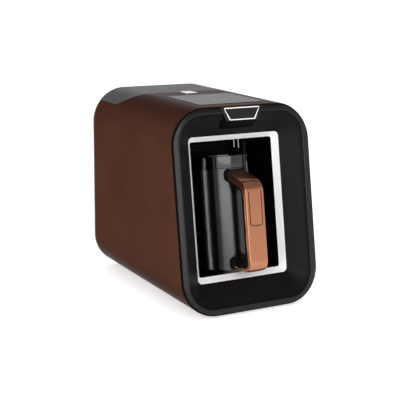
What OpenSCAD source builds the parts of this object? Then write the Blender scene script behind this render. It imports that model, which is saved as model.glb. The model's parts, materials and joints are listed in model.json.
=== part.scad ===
// Electric Turkish coffee maker: a sleeve-shaped body with a leaning front, an alcove that
// holds a lift-out pot on a hot plate, and a lift-out water tank under a hinged rear lid.
// Millimetres. +Z is up, the front faces -Y, and the origin is under the middle of the object.

/* [Body] */
// Width of the outer sleeve
body_w = 190; // [184:1:200]
// Height of the outer sleeve, without the feet
body_h = 244.6; // [238:0.2:252]
// Length of the sleeve along its bottom edge
body_d = 266.6; // [262:0.2:280]
// Radius of the four long corners of the sleeve
corner_r = 44.7; // [42:0.1:47]
// Sheet thickness of the sleeve
sleeve_t = 1.8; // [1.2:0.1:2.2]
// Backward lean of the front face, in degrees
lean = 9.8; // [8:0.1:11]
// Height of the feet below the sleeve
foot_h = 2.5; // [2:0.1:4]
// Radius of a foot
foot_r = 9; // [7:0.5:11]
// Distance of the feet from the middle plane
foot_x = 46; // [40:1:50]
// Distance of the feet from the front and rear ends of the sleeve
foot_end = 34; // [28:1:40]

/* [Front bezel] */
// How far the rim stands in front of the plane of the sleeve's front edge
rim_proud = 1.5; // [0.8:0.1:2.5]
// Width of the rim's flat face at the sides
rim_side = 7.5; // [6:0.1:9]
// Width of the rim's flat face at the top and bottom
rim_end = 7; // [6:0.1:8]
// Shadow gap between the rim and the sleeve
seam_gap = 1; // [0.6:0.1:1.6]
// Wall of the bezel
bezel_t = 2.5; // [2:0.1:2.8]
// Width of the funnel from the rim to the chrome ring at the sides
funnel_side = 24.7; // [22:0.1:27]
// Height of the funnel above the chrome ring
funnel_top = 27; // [25:0.1:30]
// Height of the funnel below the chrome ring
funnel_bottom = 31; // [29:0.1:33]
// Depth of the funnel behind the plane of the sleeve's front edge
funnel_d = 20.3; // [17:0.1:24]

/* [Chrome ring] */
// Width of the ring's bevel, seen from the front
ring_w = 6.3; // [5:0.1:7.5]
// Depth of the ring's bevel
ring_d = 8; // [6:0.1:10]
// Corner radius of the ring's front edge
ring_r = 8; // [7:0.5:10]
// Corner radius of the ring's rear edge
ring_in_r = 3; // [2:0.5:4]
// Thickness of the ring, seen from the front
ring_t = 2; // [1.4:0.1:2.4]

/* [Badge plate] */
// Width of the blank plate at its top
badge_top_w = 59; // [54:1:64]
// Width of the blank plate at its bottom
badge_low_w = 43; // [38:1:46]
// Height of the blank plate
badge_h = 17.2; // [15:0.2:19]
// How far the plate stands in front of the plane of the sleeve's front edge
badge_proud = 3; // [2.6:0.1:4]
// Margin between the plate's top and bottom edges and the bright outline
badge_margin = 1.2; // [1:0.1:1.8]
// Margin between the plate's sides and the bright outline
badge_side = 4.9; // [3:0.1:6]
// Width of the bright outline's line
badge_line = 1.3; // [0.9:0.1:1.8]

/* [Alcove] */
// Step from the chrome ring's rear edge out to the alcove's walls
alcove_step = 1.2; // [0.8:0.1:1.6]
// Depth of the alcove behind the plane of the sleeve's front edge
alcove_d = 89; // [86:0.5:94]
// Wall of the alcove liner
liner_t = 2.2; // [1.8:0.1:2.8]
// Corner radius of the alcove
liner_r = 8; // [6:0.5:10]
// Width of the flange that screws to the bezel
flange_w = 12; // [11:0.5:14]
// Depth of the pot's axis behind the plane of the sleeve's front edge
pot_d = 50; // [49.5:0.5:53]
// Radius of the hot plate
plate_r = 21; // [20:0.5:21]
// Height of the hot plate above the alcove's floor
plate_rise = 2.8; // [2:0.1:3.4]
// Sideways place of the water spout
spout_x = 14; // [8:0.5:18]
// Depth of the water spout behind the plane of the sleeve's front edge
spout_d = 43; // [38:0.5:48]
// How far the water spout hangs below the alcove's ceiling
spout_drop = 13.3; // [11:0.1:15]
// Radius of the water spout
spout_r = 4; // [3.5:0.1:4.5]

/* [Pot] */
// Outer radius of the pot
pot_r = 29.75; // [28.5:0.25:31]
// Free height between the pot's rim and the alcove's ceiling
pot_headroom = 20.6; // [18:0.1:26]
// Height of the glossy collar
collar_h = 15.2; // [12:0.2:18]
// Wall of the pot
pot_t = 1.2; // [0.8:0.1:1.6]
// Width of the handle
handle_w = 25; // [22:0.5:28]
// Distance from the pot's wall to the handle's front face
handle_reach = 40.2; // [37:0.1:42]
// Thickness of the handle at the grip
handle_t = 11.4; // [10.5:0.1:12.5]
// Thickness of the handle's outer shell
shell_t = 5.5; // [4.5:0.1:6]
// Width of the black brackets that join the handle to the pot
bracket_w = 30; // [28:0.5:32]
// Length of the brackets in front of the pot's wall
bracket_l = 4.4; // [4.2:0.1:7]

/* [Top] */
// Flat strip left at each side of the glass control panel
panel_side = 5.3; // [4.2:0.1:8]
// Distance from the glass to the release button
panel_gap = 16.2; // [12:0.1:20]
// Thickness of the glass
panel_t = 3; // [2:0.1:3.4]
// Distance from the sleeve's top front edge to the glass
panel_set = 18; // [15:0.5:22]
// Width of the lid release button
button_w = 17; // [15:0.5:19]
// Length of the lid release button
button_l = 20; // [17:0.5:22]
// Travel of the lid release button
button_travel = 2; // [1.5:0.1:2.5]

/* [Water tank and lid] */
// Width of the lid
lid_w = 168; // [160:1:170]
// Length of the lid
lid_l = 80.6; // [78:0.2:84]
// Radius of the lid's front corners, seen from above
lid_r = 36; // [30:1:38]
// Thickness of the lid
lid_t = 2.4; // [2:0.1:3]
// Gap around the lid
lid_gap = 0.6; // [0.4:0.1:1]
// Width of the tank
tank_w = 124; // [116:1:130]
// Length of the tank, front to rear
tank_l = 64.5; // [60:0.5:66]
// Height of the tank's floor above the table
tank_z = 88; // [84:1:94]
// Wall of the tank
tank_t = 2.2; // [1.8:0.1:2.8]
// Corner radius of the tank
tank_r = 14; // [10:1:18]
// Radius of the lid's hinge pin
pin_r = 1.5; // [1.2:0.1:1.8]
// Radius of the hinge barrel
barrel_r = 4; // [3.5:0.1:4.4]
// Depth of the hinge pin below the top of the sleeve
pin_drop = 9; // [8:0.1:10]

/* [Rear cover] */
// Thickness of the rear cover
cover_t = 3; // [2.5:0.1:3.5]
// Depth of the cover's lip inside the sleeve
cover_lip = 8; // [6:0.5:10]
// Number of vent slots
vent_count = 9; // [5:1:11]
// Spacing of the vent slots
vent_pitch = 8; // [7:0.5:9]
// Radius of the cord inlet bush
inlet_r = 8; // [7:0.5:9]

/* [Hidden] */

$fn = 64;
eps = 0.02;           // overshoot of a cut past a face
seat = 0.2;           // gap between parts that are set into each other
run = 0.05;           // radial clearance of a shaft in its bore
far = 400;            // larger than the whole object

// Screws: pass is the radial clearance of a shank in its hole
screw_r = 1.5;
screw_head_r = 3.2;
screw_head_h = 2;
pass = 0.2;
boss_r = 4;
boss_h = 6;

// Levels and ends of the body
top_z = foot_h + body_h;
front_len = body_h / cos(lean);
base_t = 3;
base_z = foot_h + sleeve_t + seat + base_t;
foot_recess = 1.2;

// Outline of the rim, the chrome ring and the alcove on the leaning front face
rim_in_w = body_w - 2 * rim_side;
rim_in_lo = rim_end;
rim_in_hi = front_len - rim_end;
rim_in_r = corner_r - rim_side - 3;
ring_out_w = rim_in_w - 2 * funnel_side;
ring_out_lo = rim_in_lo + funnel_bottom;
ring_out_hi = rim_in_hi - funnel_top;
ring_back = funnel_d + ring_d;
ring_in_w = ring_out_w - 2 * ring_w;
ring_in_lo = ring_out_lo + ring_w;
ring_in_hi = ring_out_hi - ring_w;
alcove_w = ring_in_w + 2 * alcove_step;
floor_v = ring_in_lo - 0.3;
ceiling_v = ring_in_hi + alcove_step;

// Lip of the bezel and of the rear cover inside the sleeve
lip_in = sleeve_t + seat;
lip_t = 2;
lip_l = 12;

// Screw bosses behind the funnel's corners
boss_out = liner_t + flange_w / 2 + 0.8;
boss_x = alcove_w / 2 + boss_out;
boss_lo = floor_v - boss_out;
boss_hi = ceiling_v + boss_out;
boss_bore = 9;

// Badge plate and the groove of its outline
badge_hi = front_len - 1.4;
badge_root = 8.5;
groove = 0.6;
outline_proud = 0.3;

// Details of the alcove's rear wall and ceiling
louvre_w = 70;
louvre_h = 1.6;
louvre_drop = 9;
louvre_pitch = 5;
sensor_x = -12;
sensor_r = 5;
spout_top = ceiling_v + liner_t;

// Heater under the hot plate, from the plate downwards
thermostat_r = 6;
thermostat_h = 9;
terminal_l = 6;
plate_step = 2.5;
plate_under = floor_v - liner_t - 0.6;
element_r = 3.2;
element_flat = 0.3;
clamp_t = 1.5;
clamp_in = thermostat_r + 1;
clamp_v = plate_under - 2 * (element_r - element_flat);
clamp_screw_ring = thermostat_r + screw_head_r + 0.3;
element_ring = clamp_screw_ring + screw_r + element_r + 0.3;
fuse_r = 2;
fuse_l = 18;

// The pot stands on the hot plate
plate_v = floor_v + plate_rise;
pot_gap = 0.2;
pot_v = plate_v + pot_gap;
pot_h = ceiling_v - pot_headroom - pot_v;
pot_round = 3;
neck_r = pot_r - 1.5;

// Handle profile: heights are above the pot's bottom, distances are from the pot's axis
handle_face = pot_r + handle_reach;
handle_back = handle_face - handle_t;
handle_top = pot_h - collar_h - 2.7;
bracket_top = pot_h - collar_h - 0.3;
handle_low = 1.2;
upper_slope = 20.5;
upper_bend_r = 17;
lower_bend_r = 13;
under_slope = 21.5;
under_bend_r = 6;
under_drop = 13.6;
lower_arm_h = 16.8;
lower_corner_r = 4;
bracket_end = pot_r + bracket_l;
lower_bracket_end = bracket_end - 0.4;
mid_top = handle_top - shell_t / cos(upper_slope);
upper_c = bend_centre(handle_top, upper_slope, handle_face, upper_bend_r);
under_top = handle_top - under_drop;
under_c = bend_centre(under_top, under_slope, handle_back, under_bend_r);
arm_roof = handle_low + lower_arm_h;
inlay_w = 17.4;
inlay_t = 1.6;
inlay_lo = 0.596 * upper_c;
inlay_hi = upper_c - 1.5;
inlay_gap = 0.4;
screw_up = (handle_top + under_top) / 2 - 2;
screw_down = handle_low + lower_arm_h / 2;

// The handle's lower bend is the foremost point, and the origin is under the middle
handle_ahead = (handle_face - lower_bend_r - pot_d) * cos(lean) + lower_bend_r
    - (pot_v + handle_low + lower_bend_r) * sin(lean);
front_y = (handle_ahead - body_d) / 2;
rear_y = front_y + body_d;
sleeve_end = rear_y - cover_t;

// Glass panel, its tray and the board under it
top_front_y = front_y + body_h * tan(lean);
panel_w = body_w - 2 * (corner_r + panel_side);
lid_front = rear_y - lid_l;
button_back = 2.5;
button_y = lid_front - button_back - button_l / 2;
panel_front = top_front_y + panel_set;
panel_l = button_y - button_l / 2 - panel_gap - panel_front;
panel_y = panel_front + panel_l / 2;
panel_rise = 0.4;
panel_r = 4;
glass_z = top_z + panel_rise - panel_t;
tray_rim = 4;
tray_t = 3.2;
tray_z = top_z - sleeve_t - tray_t;
tray_peg = 4;
peg_r = 2.5;
peg_in = 4.5;
board_t = 1.6;
panel_board_z = tray_z - tray_peg - board_t;

// Release button in front of the lid: the guide leaves it four times its travel
button_rise = 0.8;
button_slack = 0.4;
cap_h = 6;
cap_t = 2.2;
cap_z = top_z + button_rise - cap_h;
guide_wall = 1.5;
guide_h = cap_h + 4 * button_travel;
spring_r = 4;
spring_wire = 0.5;
spring_top = top_z + button_rise - cap_t;
spring_low = top_z - sleeve_t - guide_h + guide_wall;

// Hinge of the lid
pin_y = rear_y - barrel_r - 0.5;
pin_z = top_z - pin_drop;
knuckle_out = tank_w / 2 - 12;
knuckle_in = knuckle_out - 25;
ear_t = 5.5;
ear_gap = 0.3;
tongue_w = lid_w - 16;
tongue_top = pin_z - barrel_r - 1.8;
cover_top = pin_z - 12;

// Tank, its well and its socket
tank_rear = rear_y - 12.5;
tank_front = tank_rear - tank_l;
tank_mid = (tank_front + tank_rear) / 2;
lid_lift = 3.2;
rim_z = top_z - lid_t - lid_lift;
well_gap = 1.8;
well_t = 2;
well_w = tank_w + 2 * well_gap;
well_l = tank_l + 2 * well_gap;
well_floor = tank_z - 0.3;
well_top = top_z - 22;
well_rear = tank_mid + well_l / 2 + well_t;
well_flange_w = lid_w - 4;
leg_r = 5;
leg_x = tank_w / 2 - 4;
leg_y = tank_l / 2 - 10;
outlet_r = 9;
outlet_h = 6;
socket_r = 14;
socket_h = 12;
socket_bore = outlet_r + 2.2;
socket_floor = well_floor - socket_h;
spigot_r = socket_r - 2.1;
stem_r = 1.6;
stem_l = 4;
valve_r = 8;
valve_open = 3;
stem_low = tank_z - outlet_h - stem_l + valve_open;
post_r = 2.6;
port_r = 1.8;
port_ring = 4.2;
seal_t = 2.4;
barb_r = 3;
bore_r = 1.8;

// Pump under the tank
pump_x = 25;
pump_r = 18;
pump_l = 14;
pump_out = 11;
motor_r = 14;
motor_l = 38;
pump_z = base_z + 21;
pump_y = tank_front + 5;
head_back = pump_y + pump_l;
head_wall = 2.5;
shaft_r = 1.5;
shaft_in = 10;
impeller_r = 12;
blade_in = 3;
blade_t = 1.2;
hose_r = 4.5;
bracket_wall = 3;
bracket_len = 22;
bracket_set = 6;
outlet_x = pump_x + pump_out;
outlet_y = pump_y + pump_l / 2;
outlet_z = pump_z + pump_r;
loop_z = outlet_z + 6;
riser_y = tank_front - 18;
hose_top_z = lean_point(0, alcove_d, spout_top + 28)[2];

// Power board, its leads and the cord inlet
power_w = 44;
power_l = 52;
power_x = leg_r + 1 + power_w / 2 - leg_x;
power_y = tank_mid - 2;
standoff_h = 8;
power_z = base_z + standoff_h;
board_top = power_z + board_t;
board_front = power_y - power_l / 2;
relay = [16, 18, 12];
transformer = [12, 22, 15];
part_edge = 4;
capacitor_r = 5;
capacitor_h = 14;
lead_r = 1.1;
lead_in = 3;
lead_arch = 6;
lead_run = 10;
cable_r = 1.5;
cable_x = 12;
cable_slack = 8;
terminal = lean_point(0, pot_d, plate_under - thermostat_h - terminal_l);
inlet_x = power_x;
inlet_z = base_z + 22;
cord_r = 3.6;
bush_end = rear_y - 16;
bush_floor = rear_y - 12;

// Rear cover
rear_block = 5;
rear_boss_x = 44;
rear_boss_z = base_z + 8;
rear_top_x = tank_w / 2 + 4;
rear_top_z = 190;
head_recess = 1.6;
vent_z = 60;
vent_h = 26;
vent_w = 3;

// ---------- helpers ----------

// A point of the leaning front frame: x sideways, d into the machine, v up the face
function lean_point(x, d, v) = [x, front_y + d * cos(lean) + v * sin(lean),
    foot_h + v * cos(lean) - d * sin(lean)];

function arc(cx, cy, r, a0, a1, n = 10) =
    [for (i = [0:n]) let (a = a0 + (a1 - a0) * i / n) [cx + r * cos(a), cy + r * sin(a)]];

module front_frame() translate([0, front_y, foot_h]) rotate([-lean, 0, 0]) children();

module pot_frame() front_frame() translate([0, pot_d, pot_v]) children();

module rrect(w, h, r) {
    square([w - 2 * r, h], center = true);
    square([w, h - 2 * r], center = true);
    for (x = [-1, 1], y = [-1, 1]) translate([x * (w / 2 - r), y * (h / 2 - r)]) circle(r);
}

// The sleeve's cross-section, moved inwards by inset and run from y0 to y1
module body_prism(inset, y0, y1)
    translate([0, y1, foot_h + body_h / 2]) rotate([90, 0, 0]) linear_extrude(y1 - y0)
        rrect(body_w - 2 * inset, body_h - 2 * inset, corner_r - inset);

// Everything between two depths of the leaning front frame
module front_slab(d0, d1)
    front_frame() translate([-far / 2, d0, -far / 4]) cube([far, d1 - d0, far]);

// A rounded rectangle of the front face, t thick, with its front side at depth d
module face_plate(w, lo, hi, r, d, t)
    translate([0, d + t, (lo + hi) / 2]) rotate([90, 0, 0]) linear_extrude(t)
        rrect(w, hi - lo, r);

module flat_plate(w, l, r, z0, z1, x = 0, y = 0)
    translate([x, y, z0]) linear_extrude(z1 - z0) rrect(w, l, r);

// A cylinder along Y between two places
module y_rod(x, z, r, y0, y1) translate([x, y1, z]) rotate([90, 0, 0]) cylinder(h = y1 - y0, r = r);

// A cylinder along X about the hinge pin
module pin_rod(r, x0, x1)
    translate([x0, pin_y, pin_z]) rotate([0, 90, 0]) cylinder(h = x1 - x0, r = r);

// Tube along a smooth curve through points
function curve(p, steps) = concat([for (i = [0:len(p) - 2]) let (
    a = p[max(i - 1, 0)], b = p[i], c = p[i + 1], e = p[min(i + 2, len(p) - 1)])
    for (k = [0:steps - 1]) let (t = k / steps)
        0.5 * ((2 * b) + (c - a) * t + (2 * a - 5 * b + 4 * c - e) * t * t
            + (3 * b - a - 3 * c + e) * t * t * t)], [p[len(p) - 1]]);
function unit(v) = v / norm(v);
function heading(p, i) = unit(p[min(i + 1, len(p) - 1)] - p[max(i - 1, 0)]);
function side_of(v, n) = unit(n - v * (n * v));
function sides(p, i, n) = i == len(p) ? []
    : let (s = side_of(heading(p, i), n)) concat([s], sides(p, i + 1, s));
module tube(points, r, steps = 5, count = 10) {
    p = curve(points, steps);
    s = sides(p, 0, [0.9, 0.1, 0.42]);
    rings = [for (i = [0:len(p) - 1]) let (b = cross(heading(p, i), s[i]))
        for (k = [0:count - 1]) p[i] + r * (s[i] * cos(360 * k / count) + b * sin(360 * k / count))];
    last = len(p) - 1;
    polyhedron(rings, concat(
        [[for (k = [count - 1:-1:0]) k]],
        [for (i = [0:last - 1], k = [0:count - 1]) let (m = (k + 1) % count)
            [i * count + k, i * count + m, (i + 1) * count + m, (i + 1) * count + k]],
        [[for (k = [0:count - 1]) last * count + k]]));
}

// Coil spring standing on z = 0
module coil(radius, wire, height, turns)
    tube([for (i = [0:turns * 12]) [radius * cos(i * 30), radius * sin(i * 30),
        wire + (height - 2 * wire) * i / (turns * 12)]], wire, steps = 1, count = 6);

// Pan-head screw: its head sits on z = 0 and its shank runs down
module screw(length) {
    cylinder(h = screw_head_h, r = screw_head_r);
    translate([0, 0, -length]) cylinder(h = length, r = screw_r);
}

// ---------- outer shell ----------

module lid_outline(grow) {
    w = lid_w + 2 * grow;
    l = 2 * lid_l + 2 * grow;
    translate([0, rear_y]) rrect(w, l, lid_r + grow);
}

module outer_sleeve() color([0.30, 0.17, 0.13]) difference() {
    body_prism(0, front_y - 10, sleeve_end);
    body_prism(sleeve_t, front_y - 11, sleeve_end + 1);
    front_slab(-60, rim_proud + seam_gap);
    translate([0, 0, cover_top]) linear_extrude(far) lid_outline(lid_gap);
    flat_plate(panel_w + 2 * seat, panel_l + 2 * seat, panel_r, glass_z - 1, top_z + 1, 0, panel_y);
    button_hole(top_z - sleeve_t - 1);
    feet_places() translate([0, 0, foot_h - 1]) cylinder(h = sleeve_t + 2, r = screw_r + pass);
}

module feet_places()
    for (x = [-foot_x, foot_x], y = [front_y + foot_end, rear_y - foot_end])
        translate([x, y, 0]) children();

module button_hole(z0)
    flat_plate(button_w + 2 * button_slack, button_l + 2 * button_slack, 3, z0, top_z + 1, 0, button_y);

module funnel_void() hull() {
    face_plate(rim_in_w, rim_in_lo, rim_in_hi, rim_in_r, -rim_proud - eps, eps);
    face_plate(ring_out_w, ring_out_lo, ring_out_hi, ring_r, funnel_d, eps);
}

// Outline of the badge plate, moved inwards by cut at its ends and by side at its sides
function badge_points(cut, side) = let (
    slope = (badge_top_w - badge_low_w) / 2 / badge_h,
    top = badge_top_w / 2 - slope * cut - side, low = badge_low_w / 2 + slope * cut - side)
    [[-low, badge_hi - badge_h + cut], [low, badge_hi - badge_h + cut],
        [top, badge_hi - cut], [-top, badge_hi - cut]];
module badge_prism(cut, side, d0, d1) translate([0, d1, 0]) rotate([90, 0, 0])
    linear_extrude(d1 - d0) polygon(badge_points(cut, side));

module boss_places()
    for (x = [-boss_x, boss_x], v = [boss_lo, boss_hi]) translate([x, 0, v]) children();

module bezel_shell() difference() {
    union() {
        intersection() {
            body_prism(0, front_y - 10, rear_y);
            front_slab(-rim_proud, rim_proud);
        }
        difference() {
            intersection() {
                body_prism(lip_in, front_y - 10, rear_y);
                front_slab(rim_proud - 1, lip_l);
            }
            body_prism(lip_in + lip_t, front_y - 11, rear_y + 1);
        }
        front_frame() {
            hull() {
                face_plate(rim_in_w + 2 * bezel_t, rim_in_lo - bezel_t, rim_in_hi + bezel_t,
                    rim_in_r + bezel_t, -rim_proud + 1, eps);
                face_plate(ring_out_w + 2 * bezel_t, ring_out_lo - bezel_t, ring_out_hi + bezel_t,
                    ring_r + bezel_t, funnel_d - eps, eps);
            }
            boss_places() translate([0, ring_back, 0]) rotate([90, 0, 0])
                cylinder(h = ring_back - funnel_d / 2, r = boss_r);
        }
    }
    front_frame() funnel_void();
}

module front_bezel() color([0.10, 0.10, 0.11]) difference() {
    union() {
        bezel_shell();
        front_frame() badge_prism(0, 0, -badge_proud, badge_root);
    }
    front_frame() {
        boss_places() translate([0, ring_back + eps, 0]) rotate([90, 0, 0])
            cylinder(h = boss_bore, r = screw_r);
        badge_line_prism(0.03, -badge_proud - 1, -badge_proud + groove);
    }
}

module badge_line_prism(slack, d0, d1) difference() {
    badge_prism(badge_margin - slack, badge_side - slack, d0, d1);
    badge_prism(badge_margin + badge_line + slack, badge_side + badge_line + slack, d0 - 1, d1 + 1);
}

module badge_outline() color([0.9, 0.9, 0.9]) front_frame()
    badge_line_prism(0, -badge_proud - outline_proud, -badge_proud + groove);

module chrome_ring() color([0.85, 0.85, 0.87]) front_frame() difference() {
    hull() {
        face_plate(ring_out_w + 2 * ring_t, ring_out_lo - ring_t, ring_out_hi + ring_t,
            ring_r + ring_t, funnel_d, eps);
        face_plate(ring_in_w + 2 * ring_t, ring_in_lo - ring_t, ring_in_hi + ring_t,
            ring_in_r + ring_t, ring_back - eps, eps);
    }
    hull() {
        face_plate(ring_out_w, ring_out_lo, ring_out_hi, ring_r, funnel_d - eps, eps);
        face_plate(ring_in_w, ring_in_lo, ring_in_hi, ring_in_r, ring_back, eps);
    }
}

// ---------- alcove, hot plate and heater ----------

module alcove_liner() color([0.06, 0.06, 0.07]) front_frame() difference() {
    union() {
        face_plate(alcove_w + 2 * liner_t, floor_v - liner_t, ceiling_v + liner_t, liner_r + liner_t,
            ring_back, alcove_d + liner_t - ring_back);
        face_plate(alcove_w + 2 * (liner_t + flange_w), floor_v - liner_t - flange_w,
            ceiling_v + liner_t + flange_w, liner_r + flange_w, ring_back, liner_t);
    }
    difference() {
        face_plate(alcove_w, floor_v, ceiling_v, liner_r, ring_back - eps, alcove_d - ring_back + eps);
        for (k = [0:1])
            translate([-louvre_w / 2, alcove_d - louvre_h, ceiling_v - louvre_drop - k * louvre_pitch])
                cube([louvre_w, louvre_h + 1, louvre_h]);
    }
    translate([0, pot_d, floor_v - liner_t - 1])
        cylinder(h = liner_t + 2, r = plate_r - plate_step + seat);
    translate([spout_x, spout_d, ceiling_v - 1]) cylinder(h = liner_t + 2, r = spout_r + 0.1);
    translate([sensor_x, pot_d, ceiling_v - 1]) cylinder(h = liner_t + 2, r = sensor_r + 0.1);
    boss_places() translate([0, ring_back + liner_t + 1, 0]) rotate([90, 0, 0])
        cylinder(h = liner_t + 2, r = screw_r + pass);
}
module hot_plate() color([0.13, 0.13, 0.14]) front_frame() translate([0, pot_d, 0]) {
    translate([0, 0, floor_v]) cylinder(h = plate_v - floor_v, r = plate_r);
    translate([0, 0, plate_under]) cylinder(h = floor_v - plate_under, r = plate_r - plate_step);
}

module heating_element() color([0.55, 0.53, 0.5]) front_frame() translate([0, pot_d, 0])
    intersection() {
        translate([0, 0, plate_under - element_r + element_flat]) rotate_extrude()
            translate([element_ring, 0]) circle(element_r);
        translate([0, 0, clamp_v]) cylinder(h = plate_under - clamp_v, r = 2 * element_ring);
    }

module clamp_places()
    for (k = [0:2]) rotate([0, 0, 30 + k * 120]) translate([clamp_screw_ring, 0, 0]) children();

module heater_clamp() color([0.7, 0.7, 0.7]) front_frame() translate([0, pot_d, clamp_v - clamp_t])
    difference() {
        cylinder(h = clamp_t, r = element_ring + element_r + 1);
        translate([0, 0, -1]) cylinder(h = clamp_t + 2, r = clamp_in);
        clamp_places() translate([0, 0, -1]) cylinder(h = clamp_t + 2, r = screw_r + pass);
    }

module heater_screws() color([0.75, 0.75, 0.75]) front_frame()
    translate([0, pot_d, clamp_v - clamp_t]) clamp_places() mirror([0, 0, 1])
        screw(plate_under - clamp_v + clamp_t);

module thermostat() color([0.2, 0.2, 0.2]) front_frame()
    translate([0, pot_d, plate_under - thermostat_h]) {
        cylinder(h = thermostat_h, r = thermostat_r);
        for (x = [-4, 4]) translate([x - 1, -0.4, -terminal_l]) cube([2, 0.8, terminal_l + 0.1]);
    }

module thermal_fuse() color([0.9, 0.88, 0.8]) front_frame()
    translate([0, pot_d + element_ring, clamp_v - clamp_t - fuse_r]) rotate([0, 90, 0])
        translate([0, 0, -fuse_l / 2]) {
            cylinder(h = fuse_l, r = fuse_r);
            translate([0, 0, -4]) cylinder(h = fuse_l + 8, r = 0.5);
        }

module water_spout() color([0.75, 0.75, 0.77]) front_frame() translate([spout_x, spout_d, 0])
    difference() {
        union() {
            translate([0, 0, ceiling_v - spout_drop]) cylinder(h = 3, r1 = spout_r - 1.6, r2 = spout_r);
            translate([0, 0, ceiling_v - spout_drop + 3])
                cylinder(h = spout_top - ceiling_v + spout_drop - 3, r = spout_r);
            translate([0, 0, spout_top]) cylinder(h = 2, r = spout_r + 3);
            translate([0, 0, spout_top + 2]) cylinder(h = 9, r = barb_r);
        }
        translate([0, 0, ceiling_v - spout_drop - 1]) cylinder(h = far / 4, r = bore_r);
    }

module foam_sensor() color([0.12, 0.05, 0.08]) front_frame()
    translate([sensor_x, pot_d, ceiling_v - 3]) {
        cylinder(h = liner_t + 3, r = sensor_r);
        translate([0, 0, liner_t + 3]) cylinder(h = 6, r = sensor_r + 2);
    }

// ---------- top panel and lid release ----------

module control_panel() color([0.55, 0.56, 0.57])
    flat_plate(panel_w, panel_l, panel_r, glass_z, top_z + panel_rise, 0, panel_y);

module panel_tray() color([0.12, 0.12, 0.13]) {
    difference() {
        flat_plate(panel_w + 2 * tray_rim, panel_l + 2 * tray_rim, panel_r + 2, tray_z, top_z - sleeve_t,
            0, panel_y);
        flat_plate(panel_w + 2 * seat, panel_l + 2 * seat, panel_r, glass_z, top_z, 0, panel_y);
        flat_plate(panel_w - 10, panel_l - 10, panel_r, tray_z - 1, top_z, 0, panel_y);
    }
    for (x = [-1, 1], y = [-1, 1])
        translate([x * (panel_w / 2 - peg_in), panel_y + y * (panel_l / 2 - peg_in), tray_z - tray_peg])
            cylinder(h = tray_peg, r = peg_r);
}
module control_board() color([0.1, 0.35, 0.18])
    flat_plate(panel_w - 2, panel_l - 2, 2, panel_board_z, panel_board_z + board_t, 0, panel_y);

module button_guide() color([0.12, 0.12, 0.13]) difference() {
    flat_plate(button_w + 2 * (guide_wall + button_slack), button_l + 2 * (guide_wall + button_slack), 4,
        spring_low - guide_wall, top_z - sleeve_t, 0, button_y);
    button_hole(spring_low);
}

// The button's cap is hollow underneath and rides on its spring
module lid_button() color([0.8, 0.8, 0.82]) difference() {
    flat_plate(button_w, button_l, 3, cap_z, top_z + button_rise, 0, button_y);
    flat_plate(button_w - 4, button_l - 4, 2, cap_z - 1, spring_top, 0, button_y);
}

module button_spring() color([0.7, 0.7, 0.7]) translate([0, button_y, spring_low])
    coil(spring_r, spring_wire, spring_top - spring_low, 5);

// ---------- inside of the body ----------

module base_tray() color([0.14, 0.14, 0.15]) {
    difference() {
        intersection() {
            body_prism(sleeve_t + seat, front_y - 10, sleeve_end - 1);
            front_slab(lip_l + 3, far);
            translate([-far / 2, -far / 2, 0]) cube([far, far, base_z]);
        }
        feet_places() translate([0, 0, foot_h]) cylinder(h = base_t + 2, r = screw_r);
    }
    feet_places() translate([0, 0, base_z]) difference() {
        cylinder(h = boss_h, r = boss_r);
        translate([0, 0, -1]) cylinder(h = boss_h + 2, r = screw_r);
    }
    for (x = [-1, 1], y = [-1, 1])
        translate([power_x + x * (power_w / 2 - 4), power_y + y * (power_l / 2 - 4), base_z])
            cylinder(h = standoff_h, r = 3);
    for (x = [-1, 1]) difference() {
        translate([x * rear_boss_x - rear_block, sleeve_end - 12, base_z])
            cube([2 * rear_block, 12, rear_boss_z - base_z + rear_block]);
        y_rod(x * rear_boss_x, rear_boss_z, screw_r, sleeve_end - 9, rear_y);
    }
}
module rubber_feet() color([0.08, 0.08, 0.08]) feet_places() difference() {
    cylinder(h = foot_h, r = foot_r);
    translate([0, 0, -1]) cylinder(h = foot_h + 2, r = screw_r + pass);
    translate([0, 0, -1]) cylinder(h = foot_recess + 1, r = screw_head_r + 0.6);
}

module foot_screws() color([0.7, 0.7, 0.7]) feet_places() translate([0, 0, foot_recess]) {
    cylinder(h = base_z + boss_h - 2 - foot_recess, r = screw_r);
    translate([0, 0, -1]) cylinder(h = 1, r = screw_head_r);
}

module bezel_screws() color([0.7, 0.7, 0.7]) front_frame()
    boss_places() translate([0, ring_back + liner_t, 0]) rotate([-90, 0, 0]) screw(boss_bore - 1 + liner_t);

module tank_well() color([0.10, 0.10, 0.11]) {
    difference() {
        union() {
            flat_plate(well_w + 2 * well_t, well_l + 2 * well_t, tank_r + well_gap + well_t,
                well_floor - well_t, well_top, 0, tank_mid);
            intersection() {
                flat_plate(well_flange_w, well_l + 14, tank_r, well_top - well_t, well_top, 0, tank_mid - 3);
                body_prism(lip_in + lip_t + 0.4, front_y, rear_y);
            }
        }
        flat_plate(well_w, well_l, tank_r + well_gap, well_floor, well_top + 1, 0, tank_mid);
        translate([0, tank_mid, well_floor - well_t - 1]) cylinder(h = well_t + 2, r = spigot_r + 0.1);
    }
    for (x = [-1, 1], y = [-1, 1]) translate([x * leg_x, tank_mid + y * leg_y, base_z])
        cylinder(h = well_floor - well_t - base_z, r = leg_r);
    for (x = [-1, 1]) difference() {
        translate([x * rear_top_x - rear_block, well_rear - 6, rear_top_z - rear_block])
            cube([2 * rear_block, sleeve_end - well_rear + 6, 2 * rear_block]);
        y_rod(x * rear_top_x, rear_top_z, screw_r, sleeve_end - 9, rear_y);
        flat_plate(well_w, well_l, tank_r + well_gap, well_floor, well_top, 0, tank_mid);
    }
}

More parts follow.
